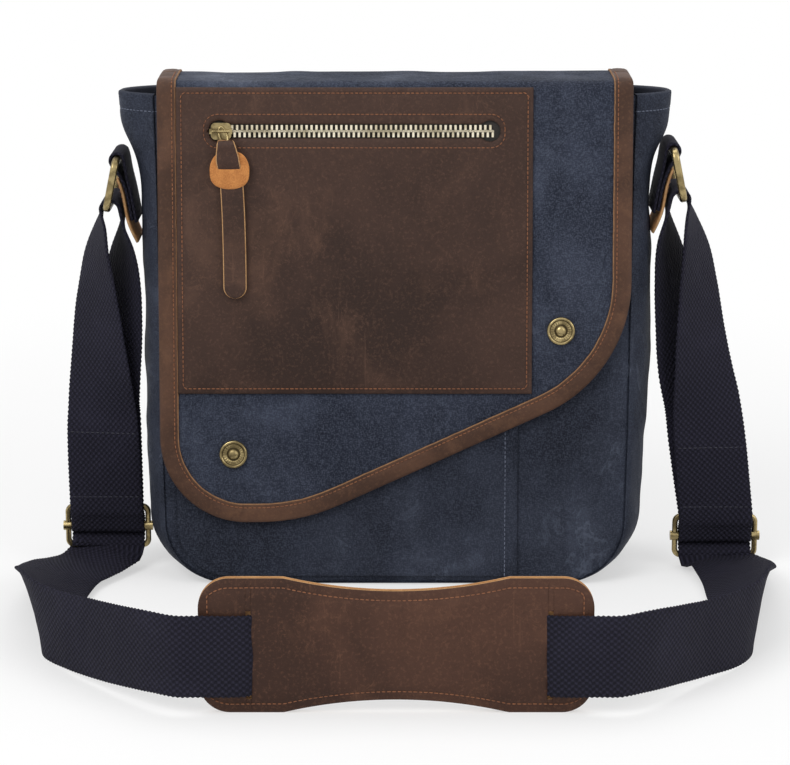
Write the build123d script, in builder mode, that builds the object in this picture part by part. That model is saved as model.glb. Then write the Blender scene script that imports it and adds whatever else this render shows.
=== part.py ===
from build123d import *
from math import asin, atan, copysign, cos, degrees, hypot, radians, sin
import os

os.makedirs("parts", exist_ok=True)

# Messenger bag, millimetres. Origin on the floor under the middle of the bag,
# +X to the wearer's right as the flap is faced, -Y towards the flap side, +Z up.

# overall sizes
rim_height = 250.0
panel_half_width = 119.5
panel_flare = 3.5            # extra half width at the rim
base_half_depth = 45.0
rim_half_depth = 20.0
corner_radius = 33.0
webbing_width = 38.0
webbing = 1.6                # thickness of the strap webbing
canvas = 1.8                 # folded canvas of the bag body
lining = 0.4
lining_gap = 0.25
leather = 1.8

# flap
flap_half_width = panel_half_width - 0.3
flap_top_height = rim_height + 8.0
flap_gap = 4.5               # flap lining to front panel
flap_canvas = 1.0
flap_stack = 1.8             # canvas with its lining
binding_width = 9.5
binding_leather = 0.95
flap_low_left = 35.15        # height of the level part of the lower edge
flap_knee_x = -48.3          # where the lower edge starts to climb
flap_low_right = 110.4       # height of the unrounded right corner
flap_round_left = 43.0
flap_round_knee = 99.0
flap_round_right = 73.0
hinge_back_y = 22.6

# leather panel on the flap, with its zip
panel_left = -110.5
panel_right = 69.7
panel_top = 255.0
panel_bottom = 100.5
panel_leather = 2.4
zip_height = 233.4
window_left = -94.0
window_right = 53.2
window_height = 7.1
window_bulb = 5.6
tooth_pitch = 2.5
tooth_count = 53
tooth_first = -82.0
slider_x = -87.5
bail_height = 6.5            # bail bar above the flap canvas

# snaps: x, height
snap_left = (-82.6, 69.5)
snap_right = (84.4, 132.5)
cap_radius = 7.15

# carrying rings: x and height of the top bar, then of the bottom bar
wire_radius = 1.9
ring_inner = 41.5
ring_top_x = panel_half_width + 22.5
ring_low_x = ring_top_x + 5.0
ring_heights = {"left": rim_height - 33.5, "right": rim_height - 28.5}
ring_drop = 24.0

# strap
split_height = 88.0          # where the hanging ends give way to the lifting part
split_gap = 0.8
adjuster_wire = 1.4
adjuster_pitch = 10.5        # centre bar to outer bar
adjuster_heights = {"left": 22.0, "right": 16.5}
adjuster_x = {"left": -panel_half_width - 31.5, "right": panel_half_width + 49.0}
sewn_tops = {"left": 77.0, "right": 69.0}
frame_y = -10.4
# x of each layer at the split
front_ends = {"left": -panel_half_width - 32.8, "right": panel_half_width + 42.5}
rear_ends = {"left": -panel_half_width - 31.7, "right": panel_half_width + 39.1}
laid_out_half_width = 119.5  # body size that the strap's own points are laid out for
laid_out_rim = 250.0

# shoulder pad
pad_middle = 0.5
pad_half_length = 88.5
pad_end_height = 63.0
pad_waist = 6.0
pad_front_y = -242.9
slot_left = -65.5
slot_right = 69.5

lean = atan((base_half_depth - rim_half_depth) / rim_height)


def front_plane(out=0.0):
    """Plane of the front panel's outer face, moved out along its normal."""
    face = Plane(origin=(0, -base_half_depth, 0), x_dir=(1, 0, 0), z_dir=(0, -cos(lean), sin(lean)))
    return face.offset(out)


def back_plane(out=0.0):
    """Plane of the back panel's outer face, x running the same way as the front."""
    face = Plane(origin=(0, base_half_depth, 0), x_dir=(-1, 0, 0), z_dir=(0, cos(lean), sin(lean)))
    return face.offset(out)


def outer_y(height):
    """Half depth of the bag over its panels at a height."""
    return base_half_depth - (base_half_depth - rim_half_depth) * height / rim_height


fold_y = -(outer_y(flap_top_height) + (flap_gap + flap_stack) / cos(lean))
flap_plane = Plane(origin=(0, fold_y, flap_top_height), x_dir=(1, 0, 0), z_dir=(0, -cos(lean), sin(lean)))


def down(height):
    """Distance below the flap's fold, along the flap, as a local y."""
    return -(flap_top_height - height) / cos(lean)


def save(piece, name):
    piece.part.label = name
    export_step(piece.part, f"parts/{name}.step")


# ---------------------------------------------------------------- bag body

def panel(plane, sheet, inset=0.0, top=rim_height, low=0.3, hem=0.0):
    """Flat panel with two rounded lower corners, growing inwards from the plane."""
    half = panel_half_width - inset
    wide = half + panel_flare * top / rim_height
    bottom = low + inset
    with BuildPart() as piece:
        with BuildSketch(plane) as flat:
            with BuildLine():
                Polyline((-half, bottom), (half, bottom), (wide, top), (-wide, top), close=True)
            make_face()
            low_corners = flat.vertices().sort_by(Axis.Y)[0:2]
            fillet(low_corners, corner_radius - inset)
        extrude(amount=-sheet)
        if hem > 0:
            with BuildSketch(plane.offset(-sheet)):
                with Locations((0, top - hem / 2)):
                    Rectangle(2 * panel_half_width - 6, hem)
            extrude(amount=-0.9)
    return piece


front_panel = panel(front_plane(), canvas, hem=11.0)
save(front_panel, "front_panel")
back_panel = panel(back_plane(), canvas, hem=11.0)
save(back_panel, "back_panel")

lining_depth = canvas + 0.9 + lining_gap
lining_front = panel(front_plane(-lining_depth), lining, inset=3.0, top=rim_height - 7.0)
save(lining_front, "lining_front")
lining_back = panel(back_plane(-lining_depth), lining, inset=3.0, top=rim_height - 7.0)
save(lining_back, "lining_back")

# side strips: height, seam beyond the panel's half width, bulge beyond the seam
side_sections = [
    (80.0, 0.8, 10.2),
    (143.0, 1.5, 9.0),
    (rim_height - 60.0, 2.1, 9.4),
    (rim_height - 24.0, 2.7, 12.8),
    (rim_height - 19.0, 2.8, 17.2),
    (rim_height - 0.5, 3.1, 18.9),
]
# rounded lower corner: turn about the corner centre, bulge beyond the seam
corner_sections = [(90.0, 0.15), (72.0, 1.6), (54.0, 5.5), (36.0, 8.5), (18.0, 9.5), (0.0, 9.5)]
corner_x = panel_half_width - 0.5 - corner_radius
corner_z = corner_radius + 0.3


def strip_section(plane, seam, half_depth, bulge, sheet):
    """Band of a circular arc from the front seam round the nose to the back seam."""
    radius = (half_depth ** 2 + bulge ** 2) / (2 * bulge)
    centre = seam + bulge - radius
    reach = (radius - sheet) / radius
    end_x = centre + (seam - centre) * reach
    end_y = half_depth * reach
    with BuildSketch(plane) as band:
        with BuildLine():
            ThreePointArc((seam, -half_depth), (seam + bulge, 0), (seam, half_depth))
            Line((seam, half_depth), (end_x, end_y))
            ThreePointArc((end_x, end_y), (centre + radius - sheet, 0), (end_x, -end_y))
            Line((end_x, -end_y), (seam, -half_depth))
        make_face()
    return band.sketch


def side_strip(inset, sheet, top_cut=0.0):
    """Right-hand side of the bag from the floor corner up to the rim."""
    with BuildPart() as piece:
        for turn, bulge in corner_sections:
            angle = radians(turn)
            radial = (cos(angle), 0, -sin(angle))
            plane = Plane(origin=(corner_x, 0, corner_z), x_dir=radial, z_dir=(sin(angle), 0, cos(angle)))
            height = corner_z - corner_radius * sin(angle)
            depth = outer_y(height) - canvas - 0.25 - inset
            add(strip_section(plane, corner_radius - inset, depth, bulge, sheet))
        for height, beyond, bulge in side_sections:
            plane = Plane.XY.offset(min(height, rim_height - 0.5 - top_cut))
            depth = outer_y(height) - canvas - 0.25 - inset
            add(strip_section(plane, panel_half_width + beyond - inset, depth, bulge, sheet))
        loft(ruled=True)
    return piece


gusset_right = side_strip(0.0, canvas)
save(gusset_right, "gusset_right")
with BuildPart() as gusset_left:
    mirror(gusset_right.part, about=Plane.YZ)
save(gusset_left, "gusset_left")

lining_right = side_strip(canvas + lining_gap + 1.0, lining, top_cut=5.0)
save(lining_right, "lining_right")
with BuildPart() as lining_left:
    mirror(lining_right.part, about=Plane.YZ)
save(lining_left, "lining_left")

with BuildPart() as gusset_base:
    with BuildSketch():
        Rectangle(2 * corner_x - 0.2, 2 * (base_half_depth - canvas - 0.3))
    extrude(amount=canvas)
save(gusset_base, "gusset_base")

board_bottom = canvas + 0.1
with BuildPart() as base_board:
    with BuildSketch(Plane.XY.offset(board_bottom)):
        RectangleRounded(2 * corner_x - 4, 78, 6)
    extrude(amount=2.0)
save(base_board, "base_board")

with BuildPart() as lining_base:
    with BuildSketch(Plane.XY.offset(board_bottom + 2.2)):
        RectangleRounded(2 * corner_x - 1, 79, 5)
    extrude(amount=lining)
save(lining_base, "lining_base")

# open slip pocket sewn flat on the back lining
with BuildPart() as inner_pocket:
    with BuildSketch(back_plane(-lining_depth - lining - 0.05)):
        with Locations((0, 130)):
            RectangleRounded(150, 120, 6)
    extrude(amount=-0.8)
save(inner_pocket, "inner_pocket")

# flat patch pocket under the flap
pocket_left = -112.0
pocket_right = 62.8
pocket_top = 172.0
pocket_sheet = 1.7
with BuildPart() as front_pocket:
    with BuildSketch(front_plane(0.05)) as flat:
        with BuildLine():
            Polyline((pocket_left, 4), (pocket_right, 4), (pocket_right, pocket_top),
                     (pocket_left, pocket_top), close=True)
        make_face()
        outer_low = flat.vertices().sort_by(Axis.Y)[0:2].sort_by(Axis.X)[0]
        fillet(outer_low, 26)
    extrude(amount=pocket_sheet)
save(front_pocket, "front_pocket")


# ---------------------------------------------------------------- flap

with BuildPart() as flap_anchor:
    with BuildSketch(back_plane(0.1)):
        with Locations((0, 240)):
            Rectangle(2 * flap_half_width - 2, 30)
    extrude(amount=canvas)
save(flap_anchor, "flap_anchor")

top_front = fold_y + 2.0
top_back = hinge_back_y - 2.0
top_middle = (top_front + top_back) / 2
top_length = top_back - top_front
with BuildPart() as flap_top:
    with BuildSketch(Plane.XY.offset(flap_top_height - flap_stack)):
        with Locations((0, top_middle)):
            Rectangle(2 * flap_half_width, top_length)
    extrude(amount=flap_stack)
save(flap_top, "flap_top")


def top_binding(side):
    """Leather channel folded over one side edge of the flap's top."""
    with BuildPart() as piece:
        centre = side * (flap_half_width + binding_leather - binding_width / 2)
        with BuildSketch(Plane.XY.offset(flap_top_height - flap_stack - binding_leather)):
            with Locations((centre, top_middle)):
                Rectangle(binding_width, top_length - 4)
        extrude(amount=flap_stack + 2 * binding_leather)
        with BuildSketch(Plane.XY.offset(flap_top_height - flap_stack - 0.02)):
            with Locations((0, top_middle)):
                Rectangle(2 * flap_half_width + 0.04, top_length)
        extrude(amount=flap_stack + 0.04, mode=Mode.SUBTRACT)
    return piece


save(top_binding(-1), "top_binding_left")
save(top_binding(1), "top_binding_right")


def flap_face(plane, grow=0.0, top=-2.0):
    """Flap outline, level then climbing to the right, corners rounded, grown or shrunk all round."""
    half = flap_half_width
    low_left = down(flap_low_left)
    low_right = down(flap_low_right)
    with BuildSketch(plane) as face:
        with BuildLine():
            Polyline((-half, 30), (-half, low_left), (flap_knee_x, low_left), (half, low_right), (half, 30),
                     close=True)
        make_face()
        for corner_at, radius in ((-half, flap_round_left), (half, flap_round_right),
                                  (flap_knee_x, flap_round_knee)):
            corner = [v for v in face.vertices() if abs(v.X - corner_at) < 0.01 and v.Y < 0]
            fillet(corner[0], radius)
        if grow:
            offset(amount=grow, kind=Kind.INTERSECTION)
        with Locations((0, top + 60)):
            Rectangle(4 * half, 120, mode=Mode.SUBTRACT)
    return face.sketch


zip_local = down(zip_height)
window_middle = (window_left + window_right) / 2
window_length = window_right - window_left


def window(extra=0.0):
    """Long slot with a round bulb at each end, for the zip."""
    with Locations((window_middle, zip_local)):
        Rectangle(window_length - 2 * window_bulb, window_height + 2 * extra)
    ends = [(window_left + window_bulb, zip_local), (window_right - window_bulb, zip_local)]
    with Locations(*ends):
        Circle(window_bulb + extra)


def snap_spots():
    return [(snap_left[0], down(snap_left[1])), (snap_right[0], down(snap_right[1]))]


def flap_sheet(bottom, sheet, windowed):
    with BuildPart() as piece:
        add(flap_face(flap_plane.offset(bottom)))
        extrude(amount=sheet)
        with BuildSketch(flap_plane.offset(bottom)):
            with Locations(*snap_spots()):
                Circle(2.1)
        extrude(amount=sheet, mode=Mode.SUBTRACT)
        if windowed:
            with BuildSketch(flap_plane.offset(bottom)):
                window(0.3)
            extrude(amount=sheet, mode=Mode.SUBTRACT)
    return piece


save(flap_sheet(-flap_canvas, flap_canvas, True), "flap_canvas")
save(flap_sheet(-flap_stack, flap_stack - flap_canvas - 0.1, False), "flap_lining")

with BuildPart() as flap_binding:
    add(flap_face(flap_plane.offset(-flap_stack - binding_leather), binding_leather, top=-6.0))
    extrude(amount=flap_stack + 2 * binding_leather, dir=flap_plane.z_dir)
    add(flap_face(flap_plane.offset(-flap_stack - 0.02), 0.03))
    extrude(amount=flap_stack + 0.04, dir=flap_plane.z_dir, mode=Mode.SUBTRACT)
    add(flap_face(flap_plane.offset(-flap_stack - 5), binding_leather - binding_width))
    extrude(amount=20, dir=flap_plane.z_dir, mode=Mode.SUBTRACT)
save(flap_binding, "flap_binding")

panel_width = panel_right - panel_left
panel_height = (panel_top - panel_bottom) / cos(lean)
panel_centre = ((panel_left + panel_right) / 2, down((panel_top + panel_bottom) / 2))
tape_half = 12.0
with BuildPart() as flap_leather:
    with BuildSketch(flap_plane.offset(0.02)):
        with Locations(panel_centre):
            Rectangle(panel_width, panel_height)
    extrude(amount=panel_leather)
    with BuildSketch(flap_plane.offset(0.02)):
        with Locations((window_middle, zip_local)):
            Rectangle(window_length + 16, 2 * tape_half + 1)
    extrude(amount=0.8, mode=Mode.SUBTRACT)
    with BuildSketch(flap_plane.offset(0.02)):
        window()
    extrude(amount=panel_leather, mode=Mode.SUBTRACT)
save(flap_leather, "flap_leather")

tape_edge = 3.25


def zip_tape(side):
    """One half of the zip's woven tape under the leather."""
    with BuildPart() as piece:
        with BuildSketch(flap_plane.offset(0.1)):
            with Locations((window_middle, zip_local + side * (tape_edge + tape_half) / 2)):
                Rectangle(window_length + 14, tape_half - tape_edge)
        extrude(amount=0.6)
    return piece


def zip_teeth(side):
    """Row of metal teeth on one tape edge, joined by the corded edge."""
    with BuildPart() as piece:
        row_length = tooth_count * tooth_pitch
        row_middle = tooth_first + row_length / 2
        with BuildSketch(flap_plane.offset(0.12)):
            with Locations((row_middle, zip_local + side * (tape_edge - 0.35))):
                Rectangle(row_length, 0.6)
        extrude(amount=1.2)
        shift = 0.25 * tooth_pitch * side
        with BuildSketch(flap_plane.offset(0.1)):
            spots = [(tooth_first + shift + tooth_pitch * (k + 0.5), zip_local + side * 1.75)
                     for k in range(tooth_count)]
            with Locations(*spots):
                Rectangle(1.0, 2.4)
        extrude(amount=1.8)
    return piece


save(zip_tape(1), "zip_tape_upper")
save(zip_tape(-1), "zip_tape_lower")
save(zip_teeth(1), "zip_teeth_upper")
save(zip_teeth(-1), "zip_teeth_lower")

def side_plane(x, local_y, height):
    """Plane across the bag at x, its own x axis running up the flap."""
    origin = flap_plane.from_local_coords((x, local_y, height))
    return Plane(origin=origin, x_dir=(0, sin(lean), cos(lean)), z_dir=(1, 0, 0))


# slider: two plates either side of the teeth on a thin blade, and a bail on top
slider_top = 2.75
slider_plate = 1.2
with BuildPart() as zip_slider:
    with BuildSketch(flap_plane.offset(slider_top)):
        with Locations((slider_x, zip_local)):
            RectangleRounded(10.2, 8.4, 2.2)
    extrude(amount=slider_plate)
    with BuildSketch(flap_plane.offset(-0.9)):
        with Locations((slider_x, zip_local)):
            RectangleRounded(10.2, 6.2, 1.5)
    extrude(amount=0.8)
    with BuildSketch(flap_plane.offset(-0.5)):
        with Locations((slider_x, zip_local)):
            Rectangle(9.0, 0.6)
    extrude(amount=slider_top + 0.8)
    bail_feet = [(slider_x - 5.1, zip_local), (slider_x + 5.1, zip_local)]
    with BuildSketch(flap_plane.offset(slider_top + 0.6)):
        with Locations(*bail_feet):
            Rectangle(1.2, 2.6)
    extrude(amount=bail_height - slider_top)
    with BuildSketch(side_plane(slider_x - 5.5, zip_local, bail_height)):
        Circle(0.6)
    extrude(amount=11.0)
save(zip_slider, "zip_slider")


pull_sheet = 1.4
pull_swing = 5.0              # the pull hangs a little to the right of its slider
eye_outer = 2.4
with BuildPart() as zip_pull_tail:
    with BuildSketch(side_plane(slider_x - 4, zip_local, bail_height)):
        Circle(eye_outer)
        Circle(0.95, mode=Mode.SUBTRACT)
    extrude(amount=8.0)
    with BuildSketch(flap_plane.offset(bail_height - eye_outer)):
        with Locations((slider_x, zip_local - 14)):
            Rectangle(8.0, 26)
        with Locations((slider_x + pull_swing, zip_local - 54)):
            SlotOverall(62, 12, rotation=90)
    extrude(amount=pull_sheet)
save(zip_pull_tail, "zip_pull_tail")

with BuildPart() as zip_pull_tongue:
    with BuildSketch(flap_plane.offset(bail_height - eye_outer + pull_sheet + 0.02)):
        with Locations((slider_x + pull_swing / 2, zip_local - 19.5)):
            Ellipse(9.6, 9.2)
    extrude(amount=1.4)
save(zip_pull_tongue, "zip_pull_tongue")


def snap_cap(spot):
    """Outer cap: raised rim, recessed ring and a low central dome, with its shank."""
    with BuildPart() as piece:
        with BuildSketch(flap_plane.offset(0.02)):
            with Locations(spot):
                Circle(cap_radius)
        extrude(amount=1.5)
        with BuildSketch(flap_plane.offset(1.52)):
            with Locations(spot):
                Circle(cap_radius - 0.6)
                Circle(cap_radius - 1.6, mode=Mode.SUBTRACT)
        extrude(amount=0.7)
        with BuildSketch(flap_plane.offset(1.52)):
            with Locations(spot):
                Circle(2.7)
        extrude(amount=1.1)
        with BuildSketch(flap_plane.offset(0.5)):
            with Locations(spot):
                Circle(2.0)
        extrude(amount=-0.5 - flap_stack - 0.1)
    return piece


def snap_socket(spot):
    """Ring inside the flap that closes over the stud."""
    with BuildPart() as piece:
        with BuildSketch(flap_plane.offset(-flap_stack - 0.02)):
            with Locations(spot):
                Circle(5.6)
                Circle(3.4, mode=Mode.SUBTRACT)
        extrude(amount=-1.4)
    return piece


def snap_stud(spot, foot):
    """Button on the bag front: wide flange and a short post."""
    face = flap_plane.offset(-flap_stack - flap_gap + foot)
    with BuildPart() as piece:
        with BuildSketch(face.offset(0.03)):
            with Locations(spot):
                Circle(4.8)
        extrude(amount=0.7)
        with BuildSketch(face.offset(0.03)):
            with Locations(spot):
                Circle(2.5)
        extrude(amount=flap_gap - foot - 0.45)
    return piece


spot_left, spot_right = snap_spots()
save(snap_cap(spot_left), "snap_cap_left")
save(snap_cap(spot_right), "snap_cap_right")
save(snap_socket(spot_left), "snap_socket_left")
save(snap_socket(spot_right), "snap_socket_right")
save(snap_stud(spot_left, pocket_sheet + 0.05), "snap_stud_left")
save(snap_stud(spot_right, 1.75), "snap_stud_right")
with BuildPart() as snap_washer:
    with BuildSketch(flap_plane.offset(-flap_stack - flap_gap + 0.02)):
        with Locations(spot_right):
            Circle(8.0)
    extrude(amount=1.7)
save(snap_washer, "snap_washer")


# ---------------------------------------------------------------- webbing

def normalised(vector):
    size = hypot(*vector)
    return tuple(c / size for c in vector)


def ribbon(stations, width=webbing_width, sheet=webbing):
    """Band through stations of centre point and width direction, straight between them."""
    with BuildPart() as piece:
        points = [point for point, across in stations]
        runs = [normalised(tuple(b - a for a, b in zip(p, q))) for p, q in zip(points, points[1:])]
        for index, (point, across) in enumerate(stations):
            before = runs[max(index - 1, 0)]
            after = runs[min(index, len(runs) - 1)]
            along = normalised(tuple(a + b for a, b in zip(before, after)))
            if abs(point[2] - split_height) < 1:
                along = (0, 0, round(along[2]))
            lined = sum(a * b for a, b in zip(across, along))
            square = normalised(tuple(a - lined * b for a, b in zip(across, along)))
            with BuildSketch(Plane(origin=point, x_dir=square, z_dir=along)):
                Rectangle(width, sheet)
        loft(ruled=True)
    return piece


def turned(side, turn):
    """Level width direction turned from straight across towards the wearer's front."""
    angle = radians(turn)
    return (cos(angle), side * sin(angle), 0)


# hanging loops: x, y, height, turn of the band, from the rear layer over the ring to the front
loop_paths = {
    "left": [
        (rear_ends["left"], -10.2, split_height + split_gap / 2, 14),
        (-148.6, -8.6, 105, 28),
        (-145.0, -6.0, 128, 40),
        (-142.2, -3.5, 150, 54),
        (-141.2, -1.0, 168, 68),
        (-140.8, 0.0, 180, 82),
        (-140.2, 0.0, 189, 90),
        (-141.6, 0.0, 193.8, 90),
        (-144.2, 0.0, 195.8, 90),
        (-147.2, 0.0, 196.2, 90),
        (-149.6, 0.0, 194.6, 90),
        (-150.8, 0.0, 191.0, 90),
        (-152.6, -1.0, 180, 78),
        (-154.8, -3.5, 165, 66),
        (-154.6, -8.0, 145, 53),
        (-154.0, -12.2, 125, 42),
        (-153.0, -14.8, 105, 30),
        (front_ends["left"], -15.6, split_height + split_gap / 2, 18),
    ],
    "right": [
        (rear_ends["right"], -10.2, split_height + split_gap / 2, 14),
        (153.0, -8.8, 107, 28),
        (148.6, -6.2, 128, 42),
        (145.0, -3.5, 150, 54),
        (141.8, -1.0, 172, 68),
        (140.8, 0.0, 185, 82),
        (140.4, 0.0, 194, 90),
        (141.8, 0.0, 198.8, 90),
        (144.2, 0.0, 200.8, 90),
        (147.2, 0.0, 201.2, 90),
        (149.6, 0.0, 199.6, 90),
        (150.8, 0.0, 196.0, 90),
        (153.0, -1.0, 186, 80),
        (156.0, -4.0, 170, 66),
        (157.4, -8.0, 150, 55),
        (158.6, -12.2, 126, 44),
        (160.4, -14.8, 105, 32),
        (front_ends["right"], -15.6, split_height + split_gap / 2, 18),
    ],
}


def carried(x, y, z):
    """Strap point moved out with the body's width, and up with its rim where it hangs at the ring."""
    out = min(max((abs(x) - 100) / 30, 0), 1) * (panel_half_width - laid_out_half_width)
    up = min(max((z - split_height) / 60, 0), 1) * (rim_height - laid_out_rim)
    return (x + copysign(out, x), y, z + up)


def hanging_loop(name, side):
    """Twisted double webbing that hangs from a ring."""
    stations = [(carried(x, y, z), turned(side, turn)) for x, y, z, turn in loop_paths[name]]
    return ribbon(stations)


save(hanging_loop("left", -1), "strap_loop_left")
save(hanging_loop("right", 1), "strap_loop_right")


def round_bar(name, bar, reach, start, stop):
    """Points on a round path about one of the adjuster's bars, in the plane across the bag."""
    middle = adjuster_heights[name] + bar * adjuster_pitch
    steps = 4 if abs(stop - start) < 100 else 12
    outer = reach / cos(radians(stop - start) / steps / 2)
    points = []
    for step in range(steps + 1):
        angle = radians(start + (stop - start) * step / steps)
        size = reach if step in (0, steps) else outer
        points.append((frame_y + size * cos(angle), middle + size * sin(angle)))
    return points


# distances of the layers' middles from a bar's centre, and the slope of the weave
first_layer = adjuster_wire + 0.45 + webbing / 2
layer_step = webbing + 0.35
second_layer = first_layer + layer_step
weave = degrees(asin((first_layer + second_layer) / adjuster_pitch))


def placed(name, path, far_x, far_turn):
    """Stations of a band at an adjuster, easing over to the hanging end's place at the split."""
    side = -1 if name == "left" else 1
    middle = adjuster_heights[name] + adjuster_pitch
    stations = []
    for y, z in path:
        share = min(max((z - middle) / (split_height - middle), 0), 1)
        x = adjuster_x[name] + (far_x - adjuster_x[name]) * share
        turn = far_turn if split_height - z < 1 else 0
        stations.append(((x, y, z), turned(side, turn)))
    return stations


def sewn_end(name):
    """Front layer, folded round the adjuster's middle bar and sewn back on itself."""
    top = sewn_tops[name]
    shelf = adjuster_heights[name] + adjuster_pitch
    front = frame_y - second_layer - layer_step
    fold = frame_y - second_layer
    rim = second_layer + layer_step
    path = [(-15.6, split_height - split_gap / 2), (front, top), (front, shelf)]
    path += [(frame_y + rim * cos(radians(a)), shelf + rim * sin(radians(a))) for a in (202, 180 + weave)]
    path += round_bar(name, 0, first_layer, 180, 360 + weave)
    path += [(frame_y + second_layer * cos(radians(a)), shelf + second_layer * sin(radians(a)))
             for a in (180 + weave, 200)]
    path += [(fold, shelf + 1), (fold, top - 2)]
    return ribbon(placed(name, path, front_ends[name], 18))


save(sewn_end("left"), "strap_end_left")
save(sewn_end("right"), "strap_end_right")

# running bands on the floor, from below the adjuster to the pad: point, width direction
floor_paths = {
    "left": [
        ((-154, -24, 5.5), (1, 0, 0)),
        ((-169, -51, 7.8), (0.966, -0.106, -0.238)),
        ((-173.5, -86, 12.2), (0.87, -0.11, -0.48)),
        ((-173.5, -119, 16.2), (0.6, -0.2, -0.76)),
        ((-173.5, -145, 19.4), (0.3, -0.1, -0.95)),
        ((-168.5, -165, 19.8), (0.1, 0, -0.99)),
        ((-156, -184, 20.8), (0.04, 0.03, -1)),
        ((-140, -203, 22.6), (0, 0, -1)),
        ((-124, -222, 25.2), (0, 0, -1)),
        ((-110, -236.5, 27.2), (0, 0, -1)),
        ((-98, -244.1, 27.5), (0, 0, -1)),
        ((-90, -244.4, 27.5), (0, 0, -1)),
        ((-67, -244.4, 27.5), (0, 0, -1)),
    ],
    "right": [
        ((170, -24, 4.5), (1, 0, 0)),
        ((175.5, -49, 7.5), (0.97, 0, 0.243)),
        ((175, -80, 11.2), (0.878, 0.16, 0.452)),
        ((174.5, -113, 16), (0.612, 0.266, 0.745)),
        ((175, -141, 19.7), (0.28, 0.2, 0.94)),
        ((171.5, -162, 19.8), (0.1, 0, 0.99)),
        ((161, -181, 20.4), (0.04, 0.03, 1)),
        ((143.5, -202, 22.2), (0, -0.13, 0.99)),
        ((127.5, -221, 25), (0, -0.05, 1)),
        ((113, -236.5, 27.2), (0, 0, 1)),
        ((101, -244.1, 27.5), (0, 0, 1)),
        ((93, -244.4, 27.5), (0, 0, 1)),
        ((71, -244.4, 27.5), (0, 0, 1)),
    ],
}


def running_band(name):
    """Rear layer through the adjuster, then along the floor to the shoulder pad."""
    middle = adjuster_heights[name]
    path = [(-10.2, split_height - split_gap / 2), (frame_y - first_layer, sewn_tops[name])]
    path += round_bar(name, 1, first_layer, 180, 180 + weave)
    path += round_bar(name, 0, second_layer, weave, -weave)
    path += round_bar(name, -1, first_layer, 180 - weave, 180)
    floor = [(carried(*point), way) for point, way in floor_paths[name]]
    return ribbon(placed(name, path, rear_ends[name], 14) + floor)


save(running_band("left"), "strap_left")
save(running_band("right"), "strap_right")

channel_y = pad_front_y + leather + 0.3 + webbing / 2
with BuildPart() as strap_mid:
    with BuildSketch(Plane.YZ.offset(slot_left + 1)):
        with Locations((channel_y, 27.5)):
            Rectangle(webbing, webbing_width)
    extrude(amount=slot_right - slot_left - 2)
save(strap_mid, "strap_mid")


def wire_frame(plane, half_wide, half_high, bend, radius):
    """Closed rectangular wire with rounded corners, drawn round a plane's origin."""
    with BuildPart() as piece:
        with BuildSketch(plane):
            RectangleRounded(2 * (half_wide + radius), 2 * (half_high + radius), bend + radius)
            RectangleRounded(2 * (half_wide - radius), 2 * (half_high - radius), bend - radius * 0.6,
                             mode=Mode.SUBTRACT)
        extrude(amount=radius, both=True)
        rims = [e for e in piece.edges() if abs(plane.to_local_coords(e.center()).Z) > radius * 0.9]
        fillet(rims, radius * 0.7)
    return piece


def adjuster_plane(name):
    centre = (adjuster_x[name], frame_y, adjuster_heights[name])
    return Plane(origin=centre, x_dir=(1, 0, 0), z_dir=(0, -1, 0))


adjuster_half = webbing_width / 2 + 0.6 + adjuster_wire
knob_length = 4.1
for name in ("left", "right"):
    frame = wire_frame(adjuster_plane(name), adjuster_half, adjuster_pitch, 3.0, adjuster_wire)
    save(frame, f"adjuster_frame_{name}")
    with BuildPart() as bar:
        start = adjuster_x[name] - adjuster_half - 2.5
        with BuildSketch(Plane(origin=(start, frame_y - 0.02, adjuster_heights[name]), x_dir=(0, 1, 0),
                               z_dir=(1, 0, 0))):
            Circle(adjuster_wire)
        extrude(amount=2 * adjuster_half + 5.0)
        for knob in (start, start + 2 * adjuster_half + 5.0 - knob_length):
            with BuildSketch(Plane(origin=(knob, frame_y, adjuster_heights[name]), x_dir=(0, 1, 0),
                                   z_dir=(1, 0, 0))):
                Circle(2.5)
            extrude(amount=knob_length)
        notches = adjuster_plane(name)
        with BuildSketch(notches):
            with Locations((-adjuster_half, 0), (adjuster_half, 0)):
                Rectangle(2 * adjuster_wire + 0.1, 8)
        extrude(amount=adjuster_wire + 0.05, both=True, mode=Mode.SUBTRACT)
    save(bar, f"adjuster_bar_{name}")


# ---------------------------------------------------------------- rings and tabs

for name, side in (("left", -1), ("right", 1)):
    top = ring_heights[name]
    low = top - ring_drop
    tilt = normalised((side * (ring_top_x - ring_low_x), 0, ring_drop))
    facing = (tilt[2], 0, -tilt[0])
    middle = (side * (ring_top_x + ring_low_x) / 2, 0, (top + low) / 2)
    ring_plane = Plane(origin=middle, x_dir=(0, 1, 0), z_dir=facing)
    half_drop = hypot(ring_drop, ring_low_x - ring_top_x) / 2
    ring = wire_frame(ring_plane, ring_inner / 2 + wire_radius, half_drop, 4.0, wire_radius)
    save(ring, f"ring_{name}")

    across = (0, 1, 0)
    around = wire_radius + 0.7 + webbing / 2
    legs = [
        (-9.4, -32.0), (-6.7, -17.0), (-4.8, -8.4), (-around, 0.0),
        (-0.7 * around, 0.7 * around), (0.0, around), (0.7 * around, 0.7 * around),
        (around, 0.0), (3.0, -2.0), (-2.1, -9.6), (-4.7, -17.0), (-7.2, -31.0),
    ]
    tab = ribbon([((side * (ring_top_x + x), 0, top + z), across) for x, z in legs], width=webbing_width - 1)
    save(tab, f"tab_webbing_{name}")
    patch = [(-9.6, -42.5), (-7.2, -36.5), (-5.0, -30.0), (-2.5, -17.0), (-0.1, -9.6)]
    tab_patch = ribbon([((side * (ring_top_x + x), 0, top + z), across) for x, z in patch],
                       width=webbing_width + 1, sheet=leather)
    save(tab_patch, f"tab_leather_{name}")


# ---------------------------------------------------------------- shoulder pad

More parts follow.
